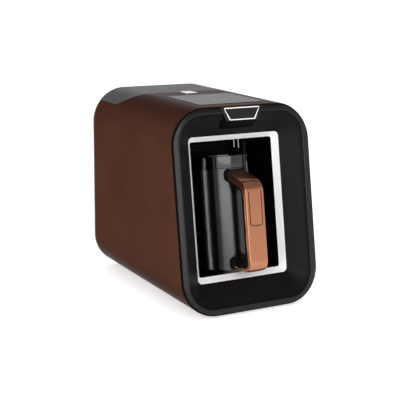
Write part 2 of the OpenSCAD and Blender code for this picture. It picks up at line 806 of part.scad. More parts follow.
// The socket hangs under the well's floor and takes the tank's outlet
module tank_socket() color([0.85, 0.85, 0.82]) translate([0, tank_mid, 0]) difference() {
    union() {
        translate([0, 0, socket_floor - 2])
            cylinder(h = well_floor - well_t - socket_floor + 2, r = socket_r);
        translate([0, 0, well_floor - well_t - eps]) cylinder(h = well_t + eps, r = spigot_r);
        translate([0, 0, socket_floor - 12]) cylinder(h = 11, r = barb_r);
    }
    difference() {
        translate([0, 0, socket_floor]) cylinder(h = socket_h + 1, r = socket_bore);
        translate([0, 0, socket_floor - 1]) cylinder(h = stem_low - socket_floor + 1, r = post_r);
    }
    translate([0, 0, socket_floor - 13]) cylinder(h = 12, r = bore_r);
    for (k = [0:2]) rotate([0, 0, k * 120]) {
        translate([port_ring, 0, socket_floor - 1]) cylinder(h = 2, r = 1.5);
        translate([0, -1, socket_floor - 1.2]) cube([port_ring, 2, 1]);
    }
}
module socket_seal() color([0.75, 0.3, 0.2]) translate([0, tank_mid, tank_z - 4.5]) difference() {
    cylinder(h = seal_t, r = socket_bore);
    translate([0, 0, -1]) cylinder(h = seal_t + 2, r = outlet_r + 0.3);
}

// ---------- pump ----------

module pump_housing() color([0.2, 0.2, 0.22]) difference() {
    union() {
        y_rod(pump_x, pump_z, pump_r, pump_y, head_back);
        y_rod(pump_x, pump_z, barb_r, pump_y - 9, pump_y + 1);
        translate([outlet_x, outlet_y, pump_z]) cylinder(h = pump_r + 8, r = barb_r);
    }
    y_rod(pump_x, pump_z, impeller_r + 2.5, pump_y + head_wall, head_back - head_wall);
    y_rod(pump_x, pump_z, bore_r, pump_y - 10, pump_y + 5);
    y_rod(pump_x, pump_z, shaft_r + run, head_back - 5, head_back + 1);
    translate([outlet_x, outlet_y, pump_z]) cylinder(h = pump_r + 9, r = bore_r);
}
module pump_impeller() color([0.85, 0.85, 0.85]) {
    y_rod(pump_x, pump_z, impeller_r, pump_y + 8, pump_y + 9.5);
    y_rod(pump_x, pump_z, blade_in + 0.5, pump_y + 5.5, pump_y + 8);
    y_rod(pump_x, pump_z, shaft_r, pump_y + 9.5, head_back + shaft_in);
    for (k = [0:5]) translate([pump_x, 0, pump_z]) rotate([0, k * 60, 0])
        translate([blade_in, pump_y + 3.8, -blade_t / 2])
            cube([impeller_r - blade_in - 0.2, 4.4, blade_t]);
}

module pump_motor() color([0.6, 0.6, 0.62]) difference() {
    union() {
        y_rod(pump_x, pump_z, motor_r, head_back, head_back + motor_l);
        y_rod(pump_x, pump_z, 5, head_back + motor_l, head_back + motor_l + 2);
    }
    y_rod(pump_x, pump_z, shaft_r + run, head_back - 1, head_back + shaft_in + 0.5);
}

module pump_bracket() color([0.15, 0.15, 0.16]) difference() {
    translate([pump_x - motor_r - bracket_wall, head_back + bracket_set, base_z])
        cube([2 * (motor_r + bracket_wall), bracket_len, pump_z - base_z + bracket_wall - 1]);
    y_rod(pump_x, pump_z, motor_r, head_back, head_back + motor_l);
    translate([pump_x - motor_r + bracket_wall, head_back + bracket_set - 1, base_z - 1])
        cube([2 * (motor_r - bracket_wall), bracket_len + 2, 1.5 * bracket_wall]);
}

// ---------- hoses, boards and leads ----------

// Both hoses slip over the barbs at their ends
module supply_hose() color([0.8, 0.8, 0.78]) difference() {
    tube([[0, tank_mid, socket_floor - 2.2], [0, tank_mid, socket_floor - socket_r],
        [pump_x / 5, tank_mid - pump_out, loop_z + 4], [0.6 * pump_x, tank_front + 10, loop_z],
        [0.88 * pump_x, tank_front - 8, loop_z], [pump_x, riser_y - 2, loop_z - 5],
        [pump_x, riser_y - 6, (loop_z + pump_z) / 2], [pump_x, riser_y - 3, pump_z + 5],
        [pump_x, tank_front - 13, pump_z], [pump_x, pump_y - 0.3, pump_z]], hose_r);
    translate([0, tank_mid, socket_floor - 12.2]) cylinder(h = 12, r = barb_r);
    y_rod(pump_x, pump_z, barb_r, pump_y - 9.2, pump_y + 1);
}
module delivery_hose() color([0.8, 0.8, 0.78]) difference() {
    tube([[outlet_x, outlet_y, outlet_z + 0.3], [outlet_x, outlet_y, outlet_z + 11],
        [outlet_x - 1, outlet_y - 8, outlet_z + 22], [outlet_x - 8, outlet_y - 22, outlet_z + 34],
        [spout_x + 4, riser_y, outlet_z + 52], [spout_x, riser_y, (outlet_z + hose_top_z) / 2],
        [spout_x, riser_y, hose_top_z - 30], [spout_x, riser_y - 7, hose_top_z - 12],
        [spout_x, riser_y - 24, hose_top_z - 4], lean_point(spout_x, spout_d + 30, spout_top + 24),
        lean_point(spout_x, spout_d + 12, spout_top + 23),
        lean_point(spout_x, spout_d + 3, spout_top + 18),
        lean_point(spout_x, spout_d, spout_top + 10), lean_point(spout_x, spout_d, spout_top + 2.3)],
        hose_r);
    translate([outlet_x, outlet_y, outlet_z - 1]) cylinder(h = 9, r = barb_r);
    front_frame() translate([spout_x, spout_d, spout_top + 1]) cylinder(h = 10, r = barb_r);
}
module power_board() color([0.12, 0.3, 0.15]) {
    flat_plate(power_w, power_l, 1, power_z, board_top, power_x, power_y);
    translate([power_x - power_w / 2 + part_edge, board_front + 1.5 * part_edge, board_top]) cube(relay);
    translate([power_x + part_edge, board_front + 3 * part_edge, board_top]) cube(transformer);
    translate([power_x - 3 * part_edge, power_y + 2 * part_edge, board_top])
        cylinder(h = capacitor_h, r = capacitor_r);
}

module lead(points, r = lead_r) tube(points, r, steps = 4, count = 8);

module mains_lead() color([0.15, 0.15, 0.15]) for (x = [-2, 2] * lead_r)
    translate([inlet_x + x, bush_end, 0]) lead([[0, 0, inlet_z], [0, -lead_in, inlet_z],
        [0, -2 * lead_in, inlet_z - lead_r], [0, -3 * lead_in, inlet_z - 2 * lead_in],
        [0, -3 * lead_in, board_top]]);

module heater_leads() color([0.75, 0.2, 0.15]) for (x = [-4, 4]) lead([
    [power_x + x, board_front + lead_in, board_top],
    [power_x + x, board_front + lead_in - 1, power_z + lead_arch],
    [power_x + x, board_front - 2 * lead_in, power_z + lead_arch - 2],
    [power_x + x, board_front - lead_run * lead_in, base_z + lead_arch],
    [power_x / 2 + x, terminal[1] + 4 * lead_run, base_z + lead_arch],
    [x, terminal[1] + 0.8 * lead_run, base_z + lead_arch],
    [x, terminal[1] + 1, terminal[2] - lead_arch], [x, terminal[1], terminal[2]]]);

module panel_cable() color([0.2, 0.2, 0.2]) lead([
    [power_x + cable_x, board_front + lead_in, board_top],
    [power_x + cable_x, board_front + lead_in - 1, power_z + lead_arch + 1],
    [power_x + cable_slack, board_front - lead_arch, power_z + cable_x],
    [power_x, riser_y, power_z + 5 * cable_slack], [power_x, riser_y, top_z - 5 * cable_x],
    [power_x, riser_y - cable_slack / 2, (top_z - 5 * cable_x + panel_board_z) / 2],
    [power_x, panel_y + panel_l / 2 - 2, panel_board_z - 1.25 * cable_slack],
    [power_x, panel_y + panel_l / 2 - cable_slack, panel_board_z - cable_slack / 2],
    [power_x, panel_y + panel_l / 2 - cable_slack, panel_board_z]], cable_r);

// ---------- rear ----------

module rear_cover() color([0.10, 0.10, 0.11]) difference() {
    union() {
        body_prism(0, sleeve_end, rear_y);
        difference() {
            body_prism(lip_in, sleeve_end - cover_lip, sleeve_end + 1);
            body_prism(lip_in + lip_t, sleeve_end - cover_lip - 1, sleeve_end + 2);
            translate([-far / 2, sleeve_end - cover_lip - 1, 0]) cube([far, cover_lip + 1, base_z + 0.3]);
        }
    }
    difference() {
        translate([0, 0, cover_top]) linear_extrude(far) lid_outline(lid_gap);
        translate([-tongue_w / 2, sleeve_end, 0]) cube([tongue_w, far, tongue_top]);
    }
    for (k = [0:vent_count - 1])
        translate([(k - (vent_count - 1) / 2) * vent_pitch - vent_w / 2, rear_y - 20, vent_z])
            cube([vent_w, 40, vent_h]);
    rear_places() {
        translate([0, 0, -5]) cylinder(h = 10, r = screw_r + pass);
        cylinder(h = 10, r = screw_head_r + 0.4);
    }
    y_rod(inlet_x, inlet_z, inlet_r + 0.1, rear_y - 5, rear_y + 1);
}
module rear_screws() color([0.6, 0.6, 0.6]) rear_places() {
    translate([0, 0, -8]) cylinder(h = 8, r = screw_r);
    cylinder(h = head_recess - 0.2, r = screw_head_r);
}

// Seats of the rear screws' heads, with local z pointing backwards
module rear_places()
    for (x = [-1, 1], place = [[rear_boss_x, rear_boss_z], [rear_top_x, rear_top_z]])
        translate([x * place[0], rear_y - head_recess, place[1]]) rotate([-90, 0, 0]) children();

module cord_inlet() color([0.07, 0.07, 0.07]) difference() {
    union() {
        y_rod(inlet_x, inlet_z, inlet_r, sleeve_end - 3, rear_y - 0.2);
        y_rod(inlet_x, inlet_z, inlet_r + 2.5, sleeve_end - 3, sleeve_end);
        y_rod(inlet_x, inlet_z, inlet_r - 2, bush_end, sleeve_end - 2);
    }
    y_rod(inlet_x, inlet_z, cord_r, bush_floor, rear_y + 1);
}

// ---------- water tank and lid ----------

module water_tank() color([0.55, 0.6, 0.65, 0.5]) difference() {
    union() {
        flat_plate(tank_w, tank_l, tank_r, tank_z, rim_z, 0, tank_mid);
        translate([0, tank_mid, tank_z - outlet_h]) cylinder(h = outlet_h + 1, r = outlet_r);
        for (side = [-1, 1], x = [knuckle_in - ear_gap - ear_t, knuckle_out + ear_gap]) {
            x0 = side > 0 ? x : -x - ear_t;
            pin_rod(barrel_r, x0, x0 + ear_t);
            translate([x0, tank_rear - 1, pin_z - barrel_r])
                cube([ear_t, pin_y - tank_rear + 1, barrel_r + 1]);
        }
    }
    flat_plate(tank_w - 2 * tank_t, tank_l - 2 * tank_t, tank_r - tank_t, tank_z + tank_t, rim_z + 1,
        0, tank_mid);
    translate([0, tank_mid, tank_z - outlet_h - 1]) {
        cylinder(h = outlet_h + tank_t + 2, r = stem_r + run);
        for (k = [0:2]) rotate([0, 0, k * 120]) translate([port_ring, 0, 0])
            cylinder(h = outlet_h + tank_t + 2, r = port_r);
    }
    pin_rod(pin_r, -knuckle_out - 20, knuckle_out + 20);
}

// Valve plunger: lifted off its seat by the socket's post while the tank is in place
module tank_valve() color([0.9, 0.9, 0.88]) translate([0, tank_mid, 0]) {
    translate([0, 0, tank_z + tank_t + valve_open]) cylinder(h = 2, r = valve_r);
    translate([0, 0, stem_low]) cylinder(h = outlet_h + tank_t + stem_l, r = stem_r);
}

module tank_lid() color([0.42, 0.42, 0.43]) difference() {
    union() {
        intersection() {
            difference() {
                body_prism(0, lid_front - 5, rear_y);
                body_prism(lid_t, lid_front - 6, rear_y + 1);
            }
            translate([0, 0, cover_top]) linear_extrude(far) lid_outline(0);
        }
        difference() {
            intersection() {
                body_prism(0, rear_y - 2, rear_y);
                translate([0, 0, pin_z]) linear_extrude(far) lid_outline(0);
            }
            pin_rod(barrel_r + 0.6, -lid_w / 2 - 1, lid_w / 2 + 1);
            translate([-4, rear_y - 3, top_z - 3]) cube([8, 4, 4]);
        }
        intersection() {
            difference() {
                flat_plate(tank_w - 1, tank_l - 1, tank_r - 0.5, rim_z + 0.3, top_z, 0, tank_mid);
                flat_plate(tank_w - 9, tank_l - 9, tank_r - 4.5, rim_z - 1, top_z + 1, 0, tank_mid);
            }
            body_prism(lid_t / 2, lid_front, rear_y);
        }
        for (side = [-1, 1]) {
            x0 = side > 0 ? knuckle_in : -knuckle_out;
            pin_rod(barrel_r, x0, x0 + knuckle_out - knuckle_in);
            translate([x0, pin_y, pin_z]) cube([knuckle_out - knuckle_in, barrel_r, pin_drop - lid_t / 2]);
        }
    }
    pin_rod(pin_r + run, -knuckle_out - 20, knuckle_out + 20);
    for (side = [-1, 1]) {
        x0 = side > 0 ? knuckle_out : -knuckle_out - ear_t - 2 * ear_gap;
        x1 = side > 0 ? knuckle_in - ear_t - 2 * ear_gap : -knuckle_in;
        pin_rod(barrel_r + 0.4, x0, x0 + ear_t + 2 * ear_gap);
        pin_rod(barrel_r + 0.4, x1, x1 + ear_t + 2 * ear_gap);
    }
}

module hinge_pins() color([0.7, 0.7, 0.7]) for (side = [-1, 1]) {
    x0 = side > 0 ? knuckle_in - ear_gap - ear_t : -knuckle_out - ear_gap - ear_t;
    pin_rod(pin_r, x0, x0 + knuckle_out - knuckle_in + 2 * (ear_gap + ear_t));
}

// ---------- pot ----------

module pot_shell() color([0.09, 0.09, 0.10]) pot_frame() rotate_extrude() difference() {
    union() {
        square([pot_r - pot_round, pot_round]);
        translate([0, pot_round]) square([pot_r, pot_h - collar_h - pot_round]);
        translate([pot_r - pot_round, pot_round]) circle(pot_round);
        translate([0, pot_h - collar_h - 1]) square([neck_r, collar_h - 1]);
    }
    translate([-far, -1]) square([far, far]);
    translate([0, pot_round]) square([neck_r - pot_t, far]);
}

module pot_collar() color([0.05, 0.05, 0.06]) pot_frame() translate([0, 0, pot_h - collar_h])
    difference() {
        cylinder(h = collar_h, r = pot_r);
        translate([0, 0, -1]) cylinder(h = collar_h - 1, r = neck_r);
        translate([0, 0, -1]) cylinder(h = collar_h + 2, r = neck_r - pot_t);
    }

// Height of an outline line that slopes down from the pot's wall
function slope_at(top, slope, s) = top - (s - pot_r) * tan(slope);
// Height of the centre of a bend that joins such a line to an upright face
function bend_centre(top, slope, face, r) = top - (r + (face - r - pot_r) * sin(slope)) / cos(slope);

function outer_path(s0, s1) = concat(
    [[s0, slope_at(handle_top, upper_slope, s0)]],
    arc(handle_face - upper_bend_r, upper_c, upper_bend_r, 90 - upper_slope, 0),
    arc(handle_face - lower_bend_r, handle_low + lower_bend_r, lower_bend_r, 0, -90),
    [[s1, handle_low]]);
function mid_path(s0, s1) = concat(
    [[s0, slope_at(mid_top, upper_slope, s0)]],
    arc(handle_face - upper_bend_r, upper_c, upper_bend_r - shell_t, 90 - upper_slope, 0),
    arc(handle_face - lower_bend_r, handle_low + lower_bend_r, lower_bend_r - shell_t, 0, -90),
    [[s1, handle_low + shell_t]]);
function inner_path(s0, s1) = concat(
    [[s0, slope_at(under_top, under_slope, s0)]],
    arc(handle_back - under_bend_r, under_c, under_bend_r, 90 - under_slope, 0),
    arc(handle_back - lower_corner_r, arm_roof + lower_corner_r, lower_corner_r, 0, -90, 5),
    [[s1, arm_roof]]);
function reversed(p) = [for (i = [len(p) - 1:-1:0]) p[i]];

// Extrudes an outline of the handle's side view across the handle
module side_shape(w, points)
    rotate([90, 0, -90]) linear_extrude(w, center = true) polygon(points);

module handle_shell() color([0.72, 0.45, 0.32]) pot_frame() difference() {
    side_shape(handle_w, concat(outer_path(bracket_end, lower_bracket_end),
        reversed(mid_path(bracket_end, lower_bracket_end))));
    inlay_shape(inlay_gap, handle_face - inlay_t, handle_face + 1);
}

module handle_liner() color([0.07, 0.07, 0.07]) pot_frame()
    side_shape(handle_w - 0.4, concat(mid_path(bracket_end, lower_bracket_end),
        reversed(inner_path(bracket_end, lower_bracket_end))));

module inlay_shape(grow, s0, s1) translate([0, -s0, (inlay_lo + inlay_hi) / 2]) rotate([90, 0, 0])
    linear_extrude(s1 - s0) rrect(inlay_w + 2 * grow, inlay_hi - inlay_lo + 2 * grow, 3);
module handle_inlay() color([0.74, 0.47, 0.34]) pot_frame()
    inlay_shape(0, handle_face - inlay_t, handle_face);

function upper_bracket_points() = [[pot_r - 10, bracket_top],
    [pot_r + 1, bracket_top], [bracket_end, slope_at(handle_top, upper_slope, bracket_end) + 0.6],
    [bracket_end, slope_at(under_top, under_slope, bracket_end) - 0.6],
    [pot_r, under_top - 0.6], [pot_r - 10, under_top - 0.6]];
module upper_bracket() color([0.07, 0.07, 0.07]) pot_frame() difference() {
    side_shape(bracket_w, upper_bracket_points());
    cylinder(h = pot_h, r = pot_r);
    screw_bore(screw_up, bracket_end);
}
module lower_bracket() color([0.07, 0.07, 0.07]) pot_frame() difference() {
    side_shape(bracket_w, [[pot_r - 10, handle_low], [lower_bracket_end, handle_low],
        [lower_bracket_end, arm_roof], [pot_r - 10, arm_roof]]);
    translate([0, 0, -1]) cylinder(h = pot_h, r = pot_r);
    screw_bore(screw_down, lower_bracket_end);
}
module screw_bore(height, s) translate([0, -s - 1, height]) rotate([-90, 0, 0]) {
    cylinder(h = screw_head_h + 1, r = screw_head_r + pass);
    cylinder(h = s - pot_r + 2, r = screw_r + pass);
}
module handle_screws() color([0.7, 0.7, 0.7]) pot_frame()
    for (place = [[screw_up, bracket_end], [screw_down, lower_bracket_end]])
        translate([0, -place[1], place[0]]) rotate([-90, 0, 0]) {
            cylinder(h = screw_head_h, r = screw_head_r);
            cylinder(h = place[1] - pot_r, r = screw_r);
        }

outer_sleeve();
front_bezel();
badge_outline();
chrome_ring();
alcove_liner();
hot_plate();
heating_element();
heater_clamp();
heater_screws();
thermostat();
thermal_fuse();
water_spout();
foam_sensor();
control_panel();
panel_tray();
control_board();
button_guide();
lid_button();
button_spring();
base_tray();
rubber_feet();
foot_screws();
bezel_screws();
tank_well();
tank_socket();
socket_seal();
pump_housing();
pump_impeller();
pump_motor();
pump_bracket();
supply_hose();
delivery_hose();
power_board();
mains_lead();
heater_leads();
panel_cable();
rear_cover();
rear_screws();
cord_inlet();
water_tank();
tank_valve();
tank_lid();
hinge_pins();
pot_shell();
pot_collar();
upper_bracket();
lower_bracket();
handle_shell();
handle_liner();
handle_inlay();
handle_screws();
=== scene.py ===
"""Looks of the electric turkish coffee maker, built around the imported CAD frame. Metres."""

import json
import math

import bmesh
import bpy
from mathutils import Matrix, Vector


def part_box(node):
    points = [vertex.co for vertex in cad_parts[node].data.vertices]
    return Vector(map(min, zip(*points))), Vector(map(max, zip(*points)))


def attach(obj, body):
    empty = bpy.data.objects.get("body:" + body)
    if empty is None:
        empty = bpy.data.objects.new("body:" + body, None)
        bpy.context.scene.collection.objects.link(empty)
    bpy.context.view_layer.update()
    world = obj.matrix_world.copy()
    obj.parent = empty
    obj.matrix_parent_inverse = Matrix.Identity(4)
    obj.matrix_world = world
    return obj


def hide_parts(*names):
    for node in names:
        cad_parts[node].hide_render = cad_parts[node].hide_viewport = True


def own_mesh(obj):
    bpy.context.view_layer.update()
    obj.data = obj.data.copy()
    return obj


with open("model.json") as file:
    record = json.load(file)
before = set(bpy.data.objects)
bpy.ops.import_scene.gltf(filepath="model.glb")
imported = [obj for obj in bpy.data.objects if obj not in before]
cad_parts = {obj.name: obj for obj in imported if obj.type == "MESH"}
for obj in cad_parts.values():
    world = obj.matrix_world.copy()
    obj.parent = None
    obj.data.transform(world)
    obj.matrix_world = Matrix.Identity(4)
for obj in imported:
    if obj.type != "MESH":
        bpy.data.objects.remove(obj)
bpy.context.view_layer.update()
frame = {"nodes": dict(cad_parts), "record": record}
nodes = frame["nodes"]

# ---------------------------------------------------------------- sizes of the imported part
MM = 0.001
LEAN = math.radians(9.8)
COS, SIN, TAN = math.cos(LEAN), math.sin(LEAN), math.tan(LEAN)
FOOT, BODY_W, BODY_H, BODY_D, CORNER = 2.5 * MM, 190 * MM, 244.6 * MM, 266.6 * MM, 44.7 * MM
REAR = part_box("rear_cover")[1].y
FRONT = REAR - BODY_D
FACE_LEN = BODY_H / COS

# Rounded rectangles on the leaning face: width, lower and upper edge, corner radius
RIM_W, RIM_LO, RIM_HI, RIM_R = 175 * MM, 7 * MM, FACE_LEN - 7 * MM, 34.2 * MM
OUT_W, OUT_LO, OUT_HI, OUT_R = 125.6 * MM, 38 * MM, FACE_LEN - 34.8 * MM, 5.5 * MM
IN_W, IN_LO, IN_HI, IN_R = 114.4 * MM, 44.3 * MM, FACE_LEN - 40.3 * MM, 3 * MM
ALC_W, ALC_LO, ALC_HI, ALC_R = 115.4 * MM, 44 * MM, IN_HI + 1.2 * MM, 8
FUNNEL_D, RING_BACK = 20.3 * MM, 28.3 * MM
ALC_D = 89.0

# The pot's axis in the machine, then the pot's own sizes in mm
POT_D, POT_V = 50 * MM, 47 * MM
POT_R, POT_H, COLLAR_H, BORE_R = 29.75, 141.52, 15.2, 27.05
COLLAR_LO = POT_H - COLLAR_H


def leaning(u, d, v):
    """A point of the leaning front: u sideways, d into the machine, v up the face."""
    return Vector((u, FRONT + d * COS + v * SIN, FOOT + v * COS - d * SIN))


def at_pot(x, s, h):
    """A point of the pot's frame: x sideways, s towards the front from the axis, h up."""
    return leaning(x, POT_D - s, POT_V + h)


# ---------------------------------------------------------------- materials
COAT_ROUGH = 0.08
MIN_ROUGH = 0.02
BUMP_DEPTH = 0.0002
RAMP_LOW, RAMP_HIGH = 0.3, 0.7
ROUGH_FINER = 3


def material(name, color, rough, metal=0.0, vary=0.08, scale=60.0, rough_vary=0.06, bump=0.0,
             bump_scale=900.0, coat=0.0, alpha=1.0, spec=0.5, edge=1.0):
    """Procedural finish: a base colour that drifts a little, uneven gloss and a fine surface.

    vary and scale are the colour's drift, bump and bump_scale the fine surface, and edge is
    the tint of the reflection at a grazing angle.
    """
    m = bpy.data.materials.new(name)
    m.use_nodes = True
    tree = m.node_tree
    shader = tree.nodes["Principled BSDF"]
    where = tree.nodes.new("ShaderNodeTexCoord")

    def noise(size, detail=3.0):
        n = tree.nodes.new("ShaderNodeTexNoise")
        n.inputs["Scale"].default_value = size
        n.inputs["Detail"].default_value = detail
        tree.links.new(where.outputs["Object"], n.inputs["Vector"])
        return n

    ramp = tree.nodes.new("ShaderNodeValToRGB")
    low, high = ramp.color_ramp.elements
    low.position, high.position = RAMP_LOW, RAMP_HIGH
    low.color = (*[c * (1 - vary) for c in color], 1)
    high.color = (*[min(1.0, c * (1 + vary)) for c in color], 1)
    tree.links.new(noise(scale).outputs["Fac"], ramp.inputs["Fac"])
    tree.links.new(ramp.outputs["Color"], shader.inputs["Base Color"])
    span = tree.nodes.new("ShaderNodeMapRange")
    span.inputs["To Min"].default_value = max(MIN_ROUGH, rough - rough_vary)
    span.inputs["To Max"].default_value = min(1.0, rough + rough_vary)
    tree.links.new(noise(scale * ROUGH_FINER).outputs["Fac"], span.inputs["Value"])
    tree.links.new(span.outputs["Result"], shader.inputs["Roughness"])
    if bump:
        hill = tree.nodes.new("ShaderNodeBump")
        hill.inputs["Strength"].default_value = bump
        hill.inputs["Distance"].default_value = BUMP_DEPTH
        tree.links.new(noise(bump_scale, 2.0).outputs["Fac"], hill.inputs["Height"])
        tree.links.new(hill.outputs["Normal"], shader.inputs["Normal"])
    shader.inputs["Metallic"].default_value = metal
    shader.inputs["Specular IOR Level"].default_value = spec
    shader.inputs["Coat Weight"].default_value = coat
    shader.inputs["Coat Roughness"].default_value = COAT_ROUGH
    shader.inputs["Specular Tint"].default_value = (edge, edge, edge, 1)
    shader.inputs["Alpha"].default_value = alpha
    m.diffuse_color = (*color, 1)
    return m


# One finish for each material slot of the record
FINISHES = {
    "brown_sleeve": dict(color=(0.089, 0.038, 0.026), rough=0.36, metal=1.0, vary=0.08,
                         scale=16, rough_vary=0.04, bump=0.12, bump_scale=2600, coat=0.02,
                         edge=0.41),
    "black_plastic": dict(color=(0.004, 0.004, 0.0045), rough=0.24, vary=0.12, scale=60,
                          rough_vary=0.05, bump=0.10, bump_scale=1400, spec=0.26),
    "handle_black": dict(color=(0.003, 0.003, 0.003), rough=0.45, vary=0.12, scale=80,
                         rough_vary=0.05, bump=0.15, bump_scale=1500, spec=0.12),
    "bright_chrome": dict(color=(0.97, 0.97, 0.975), rough=0.25, metal=0.05, vary=0.02,
                          scale=60, rough_vary=0.03),
    "plate_metal": dict(color=(0.020, 0.020, 0.022), rough=0.40, metal=0.6, vary=0.15,
                        scale=150, rough_vary=0.08, bump=0.25, bump_scale=1200),
    "steel": dict(color=(0.55, 0.55, 0.56), rough=0.28, metal=1.0, vary=0.06, scale=200,
                  rough_vary=0.06, bump=0.10, bump_scale=2000),
    "dark_parts": dict(color=(0.008, 0.006, 0.006), rough=0.35, vary=0.1, scale=100,
                       rough_vary=0.05, bump=0.1, spec=0.2),
    "fuse_body": dict(color=(0.70, 0.66, 0.52), rough=0.5, vary=0.1, scale=200,
                      rough_vary=0.05, bump=0.1),
    "panel_glass": dict(color=(0.016, 0.016, 0.018), rough=0.32, vary=0.05, scale=25,
                        rough_vary=0.03, spec=0.2),
    "green_board": dict(color=(0.03, 0.14, 0.06), rough=0.4, vary=0.25, scale=300,
                        rough_vary=0.1, bump=0.2, bump_scale=800),
    "black_rubber": dict(color=(0.018, 0.018, 0.018), rough=0.75, vary=0.15, scale=200,
                         rough_vary=0.08, bump=0.4, bump_scale=1500),
    "seal_rubber": dict(color=(0.50, 0.48, 0.43), rough=0.55, vary=0.08, scale=200,
                        rough_vary=0.06, bump=0.2),
    "red_wire": dict(color=(0.40, 0.03, 0.02), rough=0.45, vary=0.12, scale=300,
                     rough_vary=0.05, bump=0.2),
    "pale_plastic": dict(color=(0.62, 0.62, 0.58), rough=0.45, vary=0.05, scale=120,
                         rough_vary=0.05, bump=0.1),
    "clear_tank": dict(color=(0.55, 0.60, 0.63), rough=0.10, vary=0.04, scale=40,
                       rough_vary=0.03, bump=0.05, bump_scale=500, alpha=0.45),
    "grey_lid": dict(color=(0.012, 0.0115, 0.0115), rough=0.42, vary=0.06, scale=18,
                     rough_vary=0.05, bump=0.10, bump_scale=2600, spec=0.35),
    "pot_metal": dict(color=(0.055, 0.055, 0.057), rough=0.24, metal=1.0, vary=0.08,
                      scale=70, rough_vary=0.04, bump=0.08, bump_scale=1600, edge=0.6),
    "pot_gloss": dict(color=(0.058, 0.058, 0.060), rough=0.11, metal=1.0, vary=0.06,
                      scale=40, rough_vary=0.02, edge=0.6),
    "copper": dict(color=(0.45, 0.188, 0.104), rough=0.21, metal=0.95, vary=0.07, scale=25,
                   rough_vary=0.04, bump=0.06, bump_scale=2600),
}
MATS = {slot: material(slot, **values) for slot, values in FINISHES.items()}

# Finishes of single places that share a slot with others
LINER = material("alcove_black", (0.0012, 0.0012, 0.0012), 0.26, vary=0.15, scale=50,
                 rough_vary=0.06, bump=0.10, bump_scale=1200, spec=0.04)
FUNNEL = material("bezel_black", (0.0045, 0.0045, 0.0046), 0.45, vary=0.15, scale=50,
                  rough_vary=0.06, bump=0.12, bump_scale=1400, spec=0.10)
TAB = material("tab_silver", (0.85, 0.85, 0.85), 0.25, metal=1.0, vary=0.04, scale=120,
               rough_vary=0.04, bump=0.05)
TUBE = material("tube_steel", (0.17, 0.17, 0.175), 0.30, metal=1.0, vary=0.05, scale=300,
                rough_vary=0.05)
# Darker, duller black for the bezel's lip inside the joint to the sleeve: painted shade in the
# gap.
SEAM_SHADE = material("seam_painted_shade", (0.0015, 0.0015, 0.0015), 0.60, vary=0.2, scale=90,
                rough_vary=0.08, spec=0.05)
# Dark brown on the groove's faces in the copper shell: painted shade in the cut.
GROOVE_SHADE = material("groove_painted_shade", (0.020, 0.008, 0.005), 0.5, vary=0.1, scale=90,
                  rough_vary=0.08, spec=0.2)
MARK = material("panel_mark", (0.30, 0.31, 0.32), 0.5, vary=0.04, scale=200, rough_vary=0.03)

slots = {s["node"]: s["material_slot"] for s in frame["record"]["subparts"]}
for name, piece in nodes.items():
    piece.data.materials.clear()
    piece.data.materials.append(TAB if name == "lid_button" else MATS[slots[name]])


# ---------------------------------------------------------------- mesh helpers
def make(name, verts, faces, finish, body, stands_for=(), slot=None, smooth=38):
    """A new piece that rides on a body; edges sharper than smooth degrees stay sharp."""
    mesh = bpy.data.meshes.new(name)
    mesh.from_pydata([tuple(v) for v in verts], [], faces)
    mesh.validate()
    bm = bmesh.new()
    bm.from_mesh(mesh)
    bmesh.ops.remove_doubles(bm, verts=bm.verts, dist=1e-7)
    bmesh.ops.recalc_face_normals(bm, faces=bm.faces)
    bm.to_mesh(mesh)
    bm.free()
    mesh.shade_smooth()
    mesh.set_sharp_from_angle(angle=math.radians(smooth))
    mesh.materials.append(finish)
    piece = bpy.data.objects.new(name, mesh)
    bpy.context.collection.objects.link(piece)
    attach(piece, body)
    if stands_for:
        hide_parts(*stands_for)
    return piece


def loft(rings, close_ends=True, loop=False):
    """Faces between closed rings of equal length; loop joins the last ring to the first."""
    count = len(rings[0])
    verts = [p for ring in rings for p in ring]
    faces = []
    last = len(rings) if loop else len(rings) - 1
    for i in range(last):
        a, b = i * count, ((i + 1) % len(rings)) * count
        for k in range(count):
            m = (k + 1) % count
            faces.append((a + k, a + m, b + m, b + k))
    if close_ends and not loop:
        faces.append(tuple(range(count)))
        faces.append(tuple(range((len(rings) - 1) * count, len(rings) * count)))
    return verts, faces


def rounded(w, lo, hi, r, n=14):
    """Outline of a rounded rectangle as (u, v), counter-clockwise from the lower right."""
    out = []
    for cx, cy, a0 in ((w / 2 - r, lo + r, -90), (w / 2 - r, hi - r, 0),
                       (-w / 2 + r, hi - r, 90), (-w / 2 + r, lo + r, 180)):
        for i in range(n + 1):
            a = math.radians(a0 + 90 * i / n)
            out.append((cx + r * math.cos(a), cy + r * math.sin(a)))
    return out


def trapezoid(top, low, lo, hi, r, n=5):
    """Outline with rounded corners; top and low are half widths."""
    corners = [Vector((-low, lo)), Vector((low, lo)), Vector((top, hi)), Vector((-top, hi))]
    out = []
    for i, c in enumerate(corners):
        a = (corners[i - 1] - c).normalized()
        b = (corners[(i + 1) % 4] - c).normalized()
        half = math.acos(max(-1, min(1, a.dot(b)))) / 2
        centre = c + (a + b).normalized() * (r / math.sin(half))
        start = c + a * (r / math.tan(half)) - centre
        end = c + b * (r / math.tan(half)) - centre
        a0 = math.atan2(start.y, start.x)
        turn = math.atan2(end.y, end.x) - a0
        turn = (turn + math.pi) % (2 * math.pi) - math.pi
        for k in range(n + 1):
            out.append((centre.x + r * math.cos(a0 + turn * k / n),
                        centre.y + r * math.sin(a0 + turn * k / n)))
    return out


def on_face(outline, d):
    """A flat (u, v) outline set into the leaning front at depth d."""
    return [leaning(u, d, v) for u, v in outline]


def morph(a, b, t, d):
    """The outline at share t of the way from a to b, at depth d."""
    return [leaning(p[0] + (q[0] - p[0]) * t, d, p[1] + (q[1] - p[1]) * t)
            for p, q in zip(a, b)]


